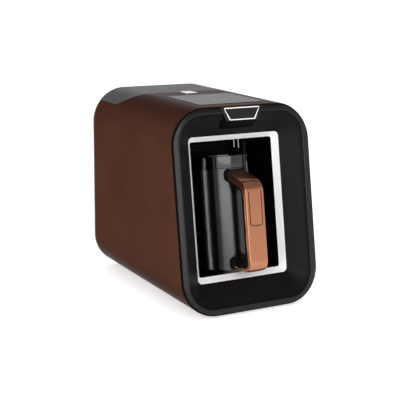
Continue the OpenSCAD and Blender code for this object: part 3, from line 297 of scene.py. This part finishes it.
def lathe(profile, place, steps=96):
    """Rings of a turned piece; profile is (radius, height), place puts (x, s, h) in the frame."""
    rings = []
    for r, h in profile:
        rings.append([place(r * math.cos(2 * math.pi * k / steps),
                            r * math.sin(2 * math.pi * k / steps), h) for k in range(steps)])
    return rings


def arc(cx, cy, r, a0, a1, n=8):
    """Points of an arc round (cx, cy), from a0 to a1 degrees."""
    return [(cx + r * math.cos(math.radians(a0 + (a1 - a0) * i / n)),
             cy + r * math.sin(math.radians(a0 + (a1 - a0) * i / n))) for i in range(n + 1)]


def scaled(points):
    """Millimetres to metres."""
    return [(a * MM, b * MM) for a, b in points]


def dress(piece, finish, where):
    """Gives a second finish to the faces whose centre fulfils a test."""
    mesh = piece.data
    mesh.materials.append(finish)
    for face in mesh.polygons:
        if where(face.center):
            face.material_index = len(mesh.materials) - 1


def soften(piece, width, segments):
    """Bevels the sharp edges of a piece; width in mm."""
    mod = piece.modifiers.new("edge", "BEVEL")
    mod.width, mod.segments, mod.limit_method = width * MM, segments, "ANGLE"
    mod.angle_limit = math.radians(50)


def depth_of(p):
    """How far a point lies behind the plane of the leaning front."""
    return (p.y - FRONT) * COS - (p.z - FOOT) * SIN


def inset_of(p):
    """How far a point lies inside the sleeve's outline."""
    x, z = abs(p.x), abs(p.z - FOOT - BODY_H / 2)
    a, b = x - BODY_W / 2 + CORNER, z - BODY_H / 2 + CORNER
    if a > 0 and b > 0:
        return CORNER - math.hypot(a, b)
    return min(BODY_W / 2 - x, BODY_H / 2 - z)


# ---------------------------------------------------------------- front bezel
RIM_D = -1.5                                   # depth of the rim's crest in mm
FUNNEL_DROP = 21.8                             # from the crest to the bright ring
SEAM_INSET, FUNNEL_INSET, FUNNEL_TOP = 2.6 * MM, 6.5 * MM, -0.95 * MM


def sleeve_line(inset, d):
    """The sleeve's own outline, moved inwards, where the plane of depth d cuts it."""
    line = rounded(BODY_W - 2 * inset, inset, BODY_H - inset, CORNER - inset)
    return [leaning(u, d, v / COS + d * TAN) for u, v in line]


def rim_line(out, d):
    """The rim's inner outline, moved outwards."""
    return on_face(rounded(RIM_W + 2 * out, RIM_LO - out, RIM_HI + out, RIM_R + out), d)


# Joint to the sleeve and tilted outer band, as (inset, depth) in mm
rings = [sleeve_line(i * MM, d * MM) for i, d in (
    (2.1, 11.8), (2.0, 2.4), (1.9, 1.8), (0.9, 1.7), (0.8, 1.55), (0.72, 0.9), (0.62, 0.4),
    (0.8, 0.25), (1.5, 0.3), (1.9, 0.25), (2.1, 0.05), (2.3, -0.12), (2.7, -0.26))]
# The band's inner part and the fold into the funnel, as (outset, depth) in mm
rings += [rim_line(o * MM, d * MM) for o, d in (
    (3.6, -0.55), (2.0, -0.95), (0.5, -1.32), (-0.2, -1.46), (-0.8, -1.5), (-1.35, -1.36),
    (-1.85, -1.05), (-2.2, -0.65))]
rim_outline = rounded(RIM_W, RIM_LO, RIM_HI, RIM_R)
ring_outline = rounded(OUT_W, OUT_LO, OUT_HI, OUT_R)
for t in (0.12, 0.25, 0.4, 0.6, 0.8, 0.96, 1.0):
    rings.append(morph(rim_outline, ring_outline, t, (RIM_D + FUNNEL_DROP * t) * MM))
# Behind the bright ring, as (outset, depth)
for out, d in ((0.6 * MM, FUNNEL_D + 1.5 * MM), (3 * MM, RING_BACK - 0.2 * MM)):
    rings.append(on_face(rounded(OUT_W + 2 * out, OUT_LO - out, OUT_HI + out, OUT_R + out), d))
bezel = make("bezel", *loft(rings, close_ends=False), MATS["black_plastic"], "housing",
             ["front_bezel"], "black_plastic", smooth=30)
# Painted shade: the faces inside the joint to the sleeve get the darker black.
dress(bezel, SEAM_SHADE, lambda p: depth_of(p) > 0 and inset_of(p) < SEAM_INSET)
dress(bezel, FUNNEL, lambda p: depth_of(p) > FUNNEL_TOP and inset_of(p) > FUNNEL_INSET)

# ---------------------------------------------------------------- badge, left blank
BADGE_HI, BADGE_LO = FACE_LEN - 1.4 * MM, FACE_LEN - 18.6 * MM
SHADOW_SHEET_SLOPE = 0.8074                           # depth for each step down the funnel's top


def block(cut, d):
    """The badge block's outline, cut back for its rounded edge; d in mm."""
    return on_face(trapezoid(29.5 * MM - cut * 1.1, 21.5 * MM - cut * 1.1, BADGE_LO + cut,
                             BADGE_HI - cut, 1.6 * MM), d * MM)


rings = [block(0, 8.4), block(0, -2.1), block(0.12 * MM, -2.55), block(0.4 * MM, -2.88),
         block(0.8 * MM, -3.0)]
make("badge_block", *loft(rings), MATS["black_plastic"], "housing", ["front_bezel"],
     "black_plastic", smooth=30)


def shadow_sheet(cut, lift):
    """Black sheet under the badge block, a painted shadow of the block; it lies on the funnel's
    slope.
    """
    line = trapezoid(28 * MM - cut, 22.5 * MM - cut, BADGE_LO - 8.2 * MM + cut,
                     BADGE_LO + 2 * MM, 2.2 * MM)
    return [leaning(u, RIM_D * MM + (RIM_HI - v) * SHADOW_SHEET_SLOPE - lift, v) for u, v in line]


# A black sheet on the funnel below the badge stands in for the block's shadow: painted shadow.
rings = [shadow_sheet(0, -1 * MM), shadow_sheet(0, 0.5 * MM), shadow_sheet(0.2 * MM, 0.75 * MM),
         shadow_sheet(0.7 * MM, 0.9 * MM)]
make("badge_shadow_sheet", *loft(rings), LINER, "housing", ["front_bezel"], "black_plastic", smooth=30)


def trim(grow, d):
    """The bright line round the badge; d in mm."""
    return on_face(trapezoid(24.9 * MM + grow, 17.6 * MM + grow, FACE_LEN - 17.5 * MM - grow,
                             FACE_LEN - 2.4 * MM + grow, 1.2 * MM + grow), d * MM)


rings = [trim(0, -2.9), trim(0, -3.15), trim(-0.12 * MM, -3.3), trim(-1.08 * MM, -3.3),
         trim(-1.2 * MM, -3.15), trim(-1.2 * MM, -2.9)]
make("badge_trim", *loft(rings, loop=True), MATS["bright_chrome"], "housing", ["badge_outline"],
     "bright_chrome", smooth=30)


# ---------------------------------------------------------------- bright ring
def ring_line(t, d, out=0.0):
    """The ring's outline at share t from its outer to its inner edge, moved outwards."""
    a = rounded(OUT_W + 2 * out, OUT_LO - out, OUT_HI + out, OUT_R + out)
    b = rounded(IN_W + 2 * out, IN_LO - out, IN_HI + out, IN_R + out)
    return morph(a, b, t, d)


rings = [ring_line(0.0, FUNNEL_D + 1.6 * MM, 1.0 * MM), ring_line(0.0, FUNNEL_D, 0.5 * MM),
         ring_line(0.0, FUNNEL_D - 0.35 * MM, 0.15 * MM), ring_line(0.03, FUNNEL_D - 0.3 * MM),
         ring_line(0.08, FUNNEL_D + 0.1 * MM)]
for t in (0.3, 0.5, 0.7, 0.93):
    rings.append(ring_line(t, FUNNEL_D + (8 * t - 0.35 * math.sin(math.pi * t)) * MM))
rings += [ring_line(1.0, RING_BACK - 0.3 * MM), ring_line(1.0, RING_BACK - 0.05 * MM, 0.3 * MM),
          ring_line(1.0, RING_BACK - 0.05 * MM, 1.8 * MM)]
make("alcove_ring", *loft(rings, close_ends=False), MATS["bright_chrome"], "housing",
     ["chrome_ring"], "bright_chrome", smooth=30)


# ---------------------------------------------------------------- alcove
def alcove_line(grow, d):
    """The alcove's outline, grown; grow and d in mm."""
    return on_face(rounded(ALC_W + 2 * grow * MM, ALC_LO - grow * MM, ALC_HI + grow * MM,
                           (ALC_R + grow) * MM), d * MM)


# Outside from the rear wall to the flange, then the inside up to the rear wall's fillet
FILLET = 6.0
rings = [alcove_line(-4, ALC_D + 2.1), alcove_line(1.2, ALC_D + 2.1), alcove_line(2.1, 86),
         alcove_line(2.1, 30.5), alcove_line(13.8, 30.5), alcove_line(14.1, 30.2),
         alcove_line(14.1, 28.35), alcove_line(0.5, 28.35), alcove_line(0.1, 28.5),
         alcove_line(0, 29), alcove_line(0, 50), alcove_line(0, ALC_D - FILLET)]
rings += [alcove_line(-FILLET * (1 - math.cos(math.radians(a))),
                      ALC_D - FILLET + FILLET * math.sin(math.radians(a)))
          for a in (15, 30, 45, 60, 75, 90)]
make("alcove_inside", *loft(rings), LINER, "housing", ["alcove_liner"], "black_plastic",
     smooth=30)


def bar(name, u0, u1, d, v, r, finish, stands_for, slot):
    """A lying rib with round ends on the alcove's rear wall, in mm."""
    rings = []
    for u, k in ((u0, 0.05), (u0 + 0.25, 0.6), (u0 + 0.7, 0.9), (u0 + 1.2, 1), (u1 - 1.2, 1),
                 (u1 - 0.7, 0.9), (u1 - 0.25, 0.6), (u1, 0.05)):
        section = [(d - r * k * math.sin(a), v + r * k * math.cos(a))
                   for a in (math.pi * i / 8 for i in range(9))]
        section += [(d + 0.6, v - r * k), (d + 0.6, v + r * k)]
        rings.append([leaning(u * MM, dd * MM, vv * MM) for dd, vv in section])
    make(name, *loft(rings), finish, "housing", stands_for, slot, smooth=40)


for k, v in enumerate((202.1, 197.0)):
    bar("louvre_rib_%d" % k, -46, -1.8, ALC_D, v, 1.0, MATS["black_plastic"],
        ["alcove_liner"], "black_plastic")


# ---------------------------------------------------------------- water spout
def spout_at(x, s, h):
    """A point of the spout's frame: x sideways, s towards the front, h up the face."""
    return leaning(14 * MM + x, 43 * MM - s, h)


# A dark holder with two thin steel tubes; ceiling is the alcove's ceiling in mm
ceiling = ALC_HI / MM
holder = [(0.01, ceiling - 1.6), (3.4, ceiling - 1.6), (4.0, ceiling - 1.0),
          (4.05, ceiling + 1.9), (6.9, ceiling + 2.0), (6.9, ceiling + 4.1),
          (3, ceiling + 4.2), (3, ceiling + 13), (0.01, ceiling + 13)]
make("spout_holder", *loft(lathe(scaled(holder), spout_at, 40), close_ends=False),
     MATS["dark_parts"], "housing", ["water_spout"], "steel", smooth=30)
for k, (dx, ds, cut) in enumerate(((-1.4, 0, 1.4), (4.2, 1, 0))):
    low = ceiling + cut
    tube = [(0.5, ceiling + 1), (0.5, low - 12), (0.6, low - 13), (0.8, low - 13.1),
            (0.95, low - 12.9), (0.95, ceiling + 1)]
    rings = lathe(scaled(tube), lambda x, s, h: spout_at(x + dx * MM, s + ds * MM, h), 24)
    make("spout_tube_%d" % k, *loft(rings, close_ends=False),
         TUBE, "housing", ["water_spout"], "steel", smooth=30)

# ---------------------------------------------------------------- pot
body_line = [(0.01, 0.6), (22, 0.6), (23, 0)] + arc(POT_R - 3, 3, 3, -90, 0) + [
    (POT_R, 60), (POT_R, COLLAR_LO - 0.5), (29.6, COLLAR_LO - 0.12), (29.2, COLLAR_LO - 0.05),
    (28.3, COLLAR_LO), (BORE_R, COLLAR_LO), (BORE_R, 6)] + arc(BORE_R - 3, 6, 3, 0, -90) + [
    (0.01, 3)]
make("pot_body", *loft(lathe(scaled(body_line), at_pot), close_ends=False), MATS["pot_metal"],
     "pot", ["pot_shell"], "pot_metal", smooth=30)
collar_line = [(28.2, COLLAR_LO + 0.05), (29.3, COLLAR_LO + 0.1), (29.65, COLLAR_LO + 0.25),
               (POT_R, COLLAR_LO + 0.6), (POT_R, POT_H - 0.9)]
collar_line += arc(29.0, POT_H - 0.75, 0.75, 0, 90, 5) + arc(27.8, POT_H - 0.75, 0.75, 90, 180, 5)
collar_line += [(BORE_R, POT_H - 2), (BORE_R, COLLAR_LO), (28.2, COLLAR_LO)]
make("pot_rim", *loft(lathe(scaled(collar_line), at_pot), close_ends=False), MATS["pot_gloss"],
     "pot", ["pot_collar"], "pot_gloss", smooth=30)

# ---------------------------------------------------------------- handle, in mm of the pot
HFACE = POT_R + 40.2                           # front of the grip
HBACK = HFACE - 11.4                           # back of the grip
HTOP, HLOW = COLLAR_LO - 2.7, 1.2              # top of the arm at the pot, and the lower end
UP_SLOPE, UP_R, LOW_R = 20.5, 17, 13           # upper side of the arm, outer bends
UND_SLOPE, UND_R, UND_TOP, ROOF = 21.5, 6, HTOP - 13.6, HLOW + 16.8   # the loop's inside
START = 31                                     # where the shell begins, from the pot's axis
HALF, HALF_INSIDE = 12.5, 12.35                # half widths of the shell and its liner
THIN = 6.15                                    # depth of the shell on the grip


def slope_at(top, slope, s):
    """Height of a line that falls from top at the pot's wall."""
    return top - (s - POT_R) * math.tan(math.radians(slope))


def bend_centre(top, slope, face, r):
    """Height of the centre of the bend between that line and the upright grip."""
    a = math.radians(slope)
    return top - (r + (face - r - POT_R) * math.sin(a)) / math.cos(a)


UP_C = bend_centre(HTOP, UP_SLOPE, HFACE, UP_R)
UND_C = bend_centre(UND_TOP, UND_SLOPE, HBACK, UND_R)


def shell_lines():
    """Outer and inner side line of the handle's copper shell, as (s, h); deeper on the arm."""
    outer = [(s, slope_at(HTOP, UP_SLOPE, s)) for s in (START, 35, 39.5, 44, 48.5)]
    inner = [(START, 111.1), (35, 110.3), (39.3, 109.3), (44, 107.9), (48.4, 106.4)]
    for k in range(15):
        a = math.radians((90 - UP_SLOPE) * (1 - k / 14))
        depth = 9.5 - 1.9 * (k / 14) ** 1.6
        for line, r in ((outer, UP_R), (inner, UP_R - depth)):
            line.append((HFACE - UP_R + r * math.cos(a), UP_C + r * math.sin(a)))
    for h, depth in ((95, 7.1), (92, 6.5), (89, 6.25), (80, THIN), (60, THIN), (40, THIN),
                     (25, THIN), (17, THIN)):
        outer.append((HFACE, h))
        inner.append((HFACE - depth, h))
    for k in range(13):
        a = math.radians(-90 * k / 12)
        for line, r in ((outer, LOW_R), (inner, LOW_R - THIN + 1.15 * k / 12)):
            line.append((HFACE - LOW_R + r * math.cos(a), HLOW + LOW_R + r * math.sin(a)))
    for s in (50, 42, START + 1):
        outer.append((s, HLOW))
        inner.append((s, HLOW + 5))
    return outer, inner


def shell_rings(half, rx, ry, crown):
    """Cross-sections along the shell: flat inside, rounded corners, a slightly crowned face."""
    rings = []
    for (so, ho), (si, hi) in zip(*shell_lines()):
        t = math.hypot(so - si, ho - hi)
        ns, nh = (so - si) / t, (ho - hi) / t
        corner = [(half - rx + rx * math.cos(a), t - crown - ry + ry * math.sin(a))
                  for a in (math.radians(step) for step in (0, 15, 30, 45, 60, 75, 90))]
        face = [(x, t - crown * (x / (half - rx)) ** 2) for x in (-8.5, -5.5, -2.5, 2.5, 5.5, 8.5)]
        section = ([(-half, 0)] + [(-x, y) for x, y in corner] + face + corner[::-1]
                   + [(half, 0)])
        rings.append([at_pot(x * MM, (si + ns * y) * MM, (hi + nh * y) * MM)
                      for x, y in section])
    return rings


grip = make("handle_grip", *loft(shell_rings(HALF, 0.9, 0.9, 0.7)), MATS["copper"], "pot",
            ["handle_shell"], "copper", smooth=30)

# U-shaped field on the grip: a fine groove cut into the shell
FIELD_HI, FIELD_LO, FIELD_W, FIELD_R = UP_C + 2.0, 57.7, 17.0, 4.0
GROOVE_HALF, GROOVE_DEEP = 0.55, 1.6


def u_line(off):
    """The field's outline without its top, moved outwards."""
    r = FIELD_R + off
    w = FIELD_W / 2 + off
    pts = [(-w, FIELD_HI)] + [(-w + r - r * math.cos(math.radians(a)),
                               FIELD_LO - off + r - r * math.sin(math.radians(a)))
                              for a in range(0, 91, 15)]
    return pts + [(-x, h) for x, h in reversed(pts)]


rings = []
for (xo, ho), (xi, hi) in zip(u_line(GROOVE_HALF), u_line(-GROOVE_HALF)):
    rings.append([at_pot(x * MM, s * MM, h * MM) for x, s, h in (
        (xo, HFACE - GROOVE_DEEP, ho), (xi, HFACE - GROOVE_DEEP, hi),
        (xi, HFACE + 2, hi), (xo, HFACE + 2, ho))])
# The groove's dark finish, painted shade in the cut, is the second slot of both, so that the cut
# keeps it
cutter = make("u_cutter", *loft(rings), MATS["copper"], "pot")
dress(cutter, GROOVE_SHADE, lambda p: True)
grip.data.materials.append(GROOVE_SHADE)
cut = grip.modifiers.new("groove", "BOOLEAN")
cut.operation, cut.solver, cut.object = "DIFFERENCE", "EXACT", cutter
carved = bpy.data.meshes.new_from_object(
    grip.evaluated_get(bpy.context.evaluated_depsgraph_get()))
grip.modifiers.clear()
grip.data = carved
carved.shade_smooth()
carved.set_sharp_from_angle(angle=math.radians(30))
bpy.data.objects.remove(cutter)
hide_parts("handle_inlay")

# Black inner half: a side outline (s, h) run across the handle
inner = [(START, slope_at(UND_TOP, UND_SLOPE, START))]
inner += arc(HBACK - UND_R, UND_C, UND_R, 90 - UND_SLOPE, 0, 12)
inner += arc(HBACK - 4, ROOF + 4, 4, 0, -90, 6) + [(START + 1, ROOF)]
outline = shell_lines()[1] + inner[::-1]
verts = [at_pot(x * MM, s * MM, h * MM) for x in (-HALF_INSIDE, HALF_INSIDE) for s, h in outline]
n = len(outline)
faces = [tuple(range(n)), tuple(range(n, 2 * n))]
faces += [(k, (k + 1) % n, n + (k + 1) % n, n + k) for k in range(n)]
soften(make("handle_inside", verts, faces, MATS["handle_black"], "pot", ["handle_liner"],
            "handle_black", smooth=35), 0.8, 3)


def root(name, node, near, far, length):
    """A root of the handle: it hugs the pot's wall and narrows to the arm; near and far are
    (half width, low, high, corner) at the wall and at the arm."""
    rings = []
    for t in (-0.12, 0, 0.25, 0.5, 0.75, 0.94, 1):
        u = max(t, 0)
        half, lo, hi, r = [a + (b - a) * (1 - (1 - u) ** 1.6) for a, b in zip(near, far)]
        if t == 1:
            half, lo, hi, r = half - 0.5, lo + 0.5, hi - 0.5, r - 0.4
        line = []
        for x, h in rounded(2 * half, lo, hi, r, 6):
            wall = math.sqrt(POT_R ** 2 - x * x)
            line.append(at_pot(x * MM, (wall + (length - wall) * t) * MM, h * MM))
        rings.append(line)
    make(name, *loft(rings), MATS["handle_black"], "pot", [node], "handle_black", smooth=35)


root("root_upper", "upper_bracket", (15.6, UND_TOP - 0.5, COLLAR_LO - 0.5, 5.5),
     (12.7, UND_TOP - 0.9, HTOP - 0.2, 3), START + 0.4)
root("root_lower", "lower_bracket", (15.6, HLOW + 0.3, ROOF + 0.2, 5.5),
     (12.7, HLOW + 0.2, ROOF + 0.2, 2.4), START + 1.4)

# ---------------------------------------------------------------- marks on the glass
glass_lo, glass_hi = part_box("control_panel")
glass_y, glass_z = (glass_lo.y + glass_hi.y) / 2, glass_hi.z
# Half profiles as (radius, height above the glass) in mm
DOT = [(1.0, -0.05), (1.0, 0.02), (0.9, 0.03), (0.02, 0.03)]
HOOP = [(2.4, -0.05), (3.2, -0.05), (3.2, 0.02), (3.1, 0.03), (2.5, 0.03), (2.4, 0.02)]


def mark(name, x, y, profile, spread=(1, 1), loop=False):
    """A thin printed sign: a turned outline, stretched where it is a bar."""
    def place(a, b, h):
        return Vector(((x + a * spread[0]) * MM, glass_y + (y + b * spread[1]) * MM,
                       glass_z + h * MM))
    make(name, *loft(lathe(profile, place, 32), loop=loop), MARK, "housing", (), "panel_glass",
         smooth=30)


for k, x in enumerate((-27, -9, 9, 27)):
    mark("mark_hoop_%d" % k, x, -12, HOOP, loop=True)
    mark("mark_bar_%d" % k, x, -19, DOT, (2.6, 0.45))
for k, x in enumerate((-18, 0, 18)):
    mark("mark_dot_%d" % k, x, 10, DOT, (1.1, 1.1))

# ---------------------------------------------------------------- spring under the button
WIRE_R, SPRING_R, TURNS, TURN_STEPS = 0.5 * MM, 4 * MM, 5, 36
END_PITCH, BUTTON_TRAVEL, CAP_GAP = 1.05 * MM, 2 * MM, 0.1 * MM
spring_lo, spring_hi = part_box("button_spring")
spring_h = spring_hi.z - spring_lo.z
spring_x, spring_y = (spring_lo.x + spring_hi.x) / 2, (spring_lo.y + spring_hi.y) / 2
mid_pitch = (spring_h - 2 * WIRE_R - 2 * END_PITCH) / (TURNS - 2)
wire = [math.radians(36 * k) for k in range(10)]
coil = []
for i in range(TURNS * TURN_STEPS + 1):
    turn = i / TURN_STEPS
    end_turns = min(turn, 1) + max(turn - TURNS + 1, 0)
    mid_turns = min(max(turn - 1, 0), TURNS - 2)
    z = spring_lo.z + WIRE_R + END_PITCH * end_turns + mid_pitch * mid_turns
    around = 2 * math.pi * turn
    coil.append([Vector((spring_x + (SPRING_R + WIRE_R * math.cos(b)) * math.cos(around),
                         spring_y + (SPRING_R + WIRE_R * math.cos(b)) * math.sin(around),
                         z + WIRE_R * math.sin(b))) for b in wire])
spring = make("button_coil", *loft(coil), MATS["steel"], "housing", ["button_spring"],
              slots["button_spring"], smooth=50)
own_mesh(spring)

# ---------------------------------------------------------------- edges of carried-over shells
for name, width in (("outer_sleeve", 0.35), ("tank_lid", 0.5), ("rear_cover", 0.6),
                    ("control_panel", 0.5), ("lid_button", 0.6), ("rubber_feet", 0.5)):
    soften(nodes[name], width, 2)

# ---------------------------------------------------------------- camera
IMAGE_W, FOCAL_PX, SENSOR_W = 400, 1026.8, 36.0
AZIMUTH, ELEVATION, ROLL = math.radians(-28.82), math.radians(12.95), math.radians(0.62)
EYE = Vector((-0.6285, -1.0030 + FRONT, 0.4081 + FOOT))

scene = bpy.context.scene
lens = bpy.data.cameras.new("camera")
lens.sensor_width, lens.lens = SENSOR_W, SENSOR_W * FOCAL_PX / IMAGE_W
lens.clip_start, lens.clip_end = 0.05, 20
eye = bpy.data.objects.new("camera", lens)
back = Vector((math.sin(AZIMUTH) * math.cos(ELEVATION),
               -math.cos(AZIMUTH) * math.cos(ELEVATION), math.sin(ELEVATION)))
level = Vector((math.cos(AZIMUTH), math.sin(AZIMUTH), 0))
upright = back.cross(level)
right = level * math.cos(ROLL) + upright * math.sin(ROLL)
up = upright * math.cos(ROLL) - level * math.sin(ROLL)
eye.matrix_world = Matrix([(right[i], up[i], back[i], EYE[i]) for i in range(3)] + [(0, 0, 0, 1)])
bpy.context.collection.objects.link(eye)
scene.camera = eye


# ---------------------------------------------------------------- world and floor
def seen_by(tree, path):
    """Camera rays, mirror images and views through clear parts."""
    total = path.outputs["Is Camera Ray"]
    for kind in ("Is Glossy Ray", "Is Transmission Ray"):
        join = tree.nodes.new("ShaderNodeMath")
        join.operation = "MAXIMUM"
        tree.links.new(total, join.inputs[0])
        tree.links.new(path.outputs[kind], join.inputs[1])
        total = join.outputs[0]
    return total


def two_faced(tree, path, lit, seen, out):
    """Mixes the shader that lights the object with the one that is seen."""
    pick = tree.nodes.new("ShaderNodeMixShader")
    tree.links.new(seen_by(tree, path), pick.inputs["Fac"])
    tree.links.new(lit, pick.inputs[1])
    tree.links.new(seen, pick.inputs[2])
    tree.links.new(pick.outputs["Shader"], tree.nodes[out].inputs["Surface"])


WORLD_LIGHT = 0.6
# Mirror images of the sky darken from the first height to the second, down to OVERHEAD
FADE_FROM, FADE_TO, OVERHEAD = 0.35, 0.65, 0.34

world = bpy.data.worlds.new("studio")
scene.world = world
world.use_nodes = True
tree = world.node_tree
ground = tree.nodes["Background"]
ground.inputs["Color"].default_value = (1, 1, 1, 1)
ground.inputs["Strength"].default_value = WORLD_LIGHT
seen = tree.nodes.new("ShaderNodeBackground")
seen.inputs["Color"].default_value = (1, 1, 1, 1)
path = tree.nodes.new("ShaderNodeLightPath")
ray = tree.nodes.new("ShaderNodeTexCoord")
split = tree.nodes.new("ShaderNodeSeparateXYZ")
tree.links.new(ray.outputs["Generated"], split.inputs["Vector"])
fade = tree.nodes.new("ShaderNodeMapRange")
fade.interpolation_type = "SMOOTHSTEP"
for key, value in (("From Min", FADE_FROM), ("From Max", FADE_TO), ("To Min", 1.0),
                   ("To Max", OVERHEAD)):
    fade.inputs[key].default_value = value
tree.links.new(split.outputs["Z"], fade.inputs["Value"])
white = tree.nodes.new("ShaderNodeMath")       # the camera itself sees plain white
white.operation = "MAXIMUM"
tree.links.new(fade.outputs["Result"], white.inputs[0])
tree.links.new(path.outputs["Is Camera Ray"], white.inputs[1])
tree.links.new(white.outputs[0], seen.inputs["Strength"])
two_faced(tree, path, ground.outputs["Background"], seen.outputs["Background"], "World Output")

FLOOR_HALF, FLOOR_COLOR, FLOOR_ROUGH, FLOOR_GLOW = 4, 0.92, 0.8, 0.55
floor_mesh = bpy.data.meshes.new("floor")
floor_mesh.from_pydata([(x * FLOOR_HALF, y * FLOOR_HALF, 0)
                        for x, y in ((-1, -1), (1, -1), (1, 1), (-1, 1))], [], [(0, 1, 2, 3)])
floor = bpy.data.objects.new("floor", floor_mesh)
bpy.context.collection.objects.link(floor)
sheet = bpy.data.materials.new("ground")
sheet.use_nodes = True
tree = sheet.node_tree
plain = tree.nodes["Principled BSDF"]
plain.inputs["Base Color"].default_value = (FLOOR_COLOR, FLOOR_COLOR, FLOOR_COLOR, 1)
plain.inputs["Roughness"].default_value = FLOOR_ROUGH
glow = tree.nodes.new("ShaderNodeEmission")
glow.inputs["Strength"].default_value = FLOOR_GLOW
both = tree.nodes.new("ShaderNodeAddShader")
tree.links.new(plain.outputs["BSDF"], both.inputs[0])
tree.links.new(glow.outputs["Emission"], both.inputs[1])
two_faced(tree, tree.nodes.new("ShaderNodeLightPath"), plain.outputs["BSDF"],
          both.outputs["Shader"], "Material Output")
floor_mesh.materials.append(sheet)


# ---------------------------------------------------------------- lamps
def lamp(name, place, aim, size, power):
    """A rectangular lamp at place that shines at aim."""
    data = bpy.data.lights.new(name, "AREA")
    data.shape, data.size, data.size_y = "RECTANGLE", size[0], size[1]
    data.energy = power
    obj = bpy.data.objects.new(name, data)
    bpy.context.collection.objects.link(obj)
    obj.location = place
    obj.rotation_euler = (Vector(aim) - Vector(place)).to_track_quat("-Z", "Y").to_euler()
    return obj


def strip(name, place, aim, size, power, lit):
    """A narrow lamp that reaches into the alcove and lights only the pieces in lit."""
    light = lamp(name, place, aim, size, power)
    light.data.use_shadow = False
    light.data.cycles.use_multiple_importance_sampling = False
    only = bpy.data.collections.new(name + "_lit")
    for piece in lit:
        only.objects.link(piece)
    light.light_linking.receiver_collection = only


def toward(side, reach, start, z):
    """A place at height z, reach metres away from start at azimuth side."""
    a = math.radians(side)
    return (start.x + reach * math.sin(a), start.y - reach * math.cos(a), z)


lamp("key", (-0.72, -1.52, 0.62), (0, FRONT, 0.13), size=(2.12, 1.2), power=21.5)
lamp("top", (0.2, 0.3, 1.6), (0, 0, 0.1), size=(1.4, 1.4), power=4).visible_glossy = False
middle = at_pot(0, 0, 70 * MM)
pot_pieces = [bpy.data.objects["pot_body"], bpy.data.objects["pot_rim"]]
strip("rim_left", toward(-139, 1.5, middle, -0.15), middle, (0.56, 1.3), 8, pot_pieces)
strip("rim_right", toward(114, 1.5, middle, -0.1), middle, (0.5, 1.3), 5, pot_pieces)
side = at_pot(-HALF * MM, 66 * MM, 52 * MM)
strip("grip_left", toward(-149.5, 0.35, side, 0.01), side, (0.10, 0.10), 0.036, [grip])

scene.view_settings.view_transform = "Standard"
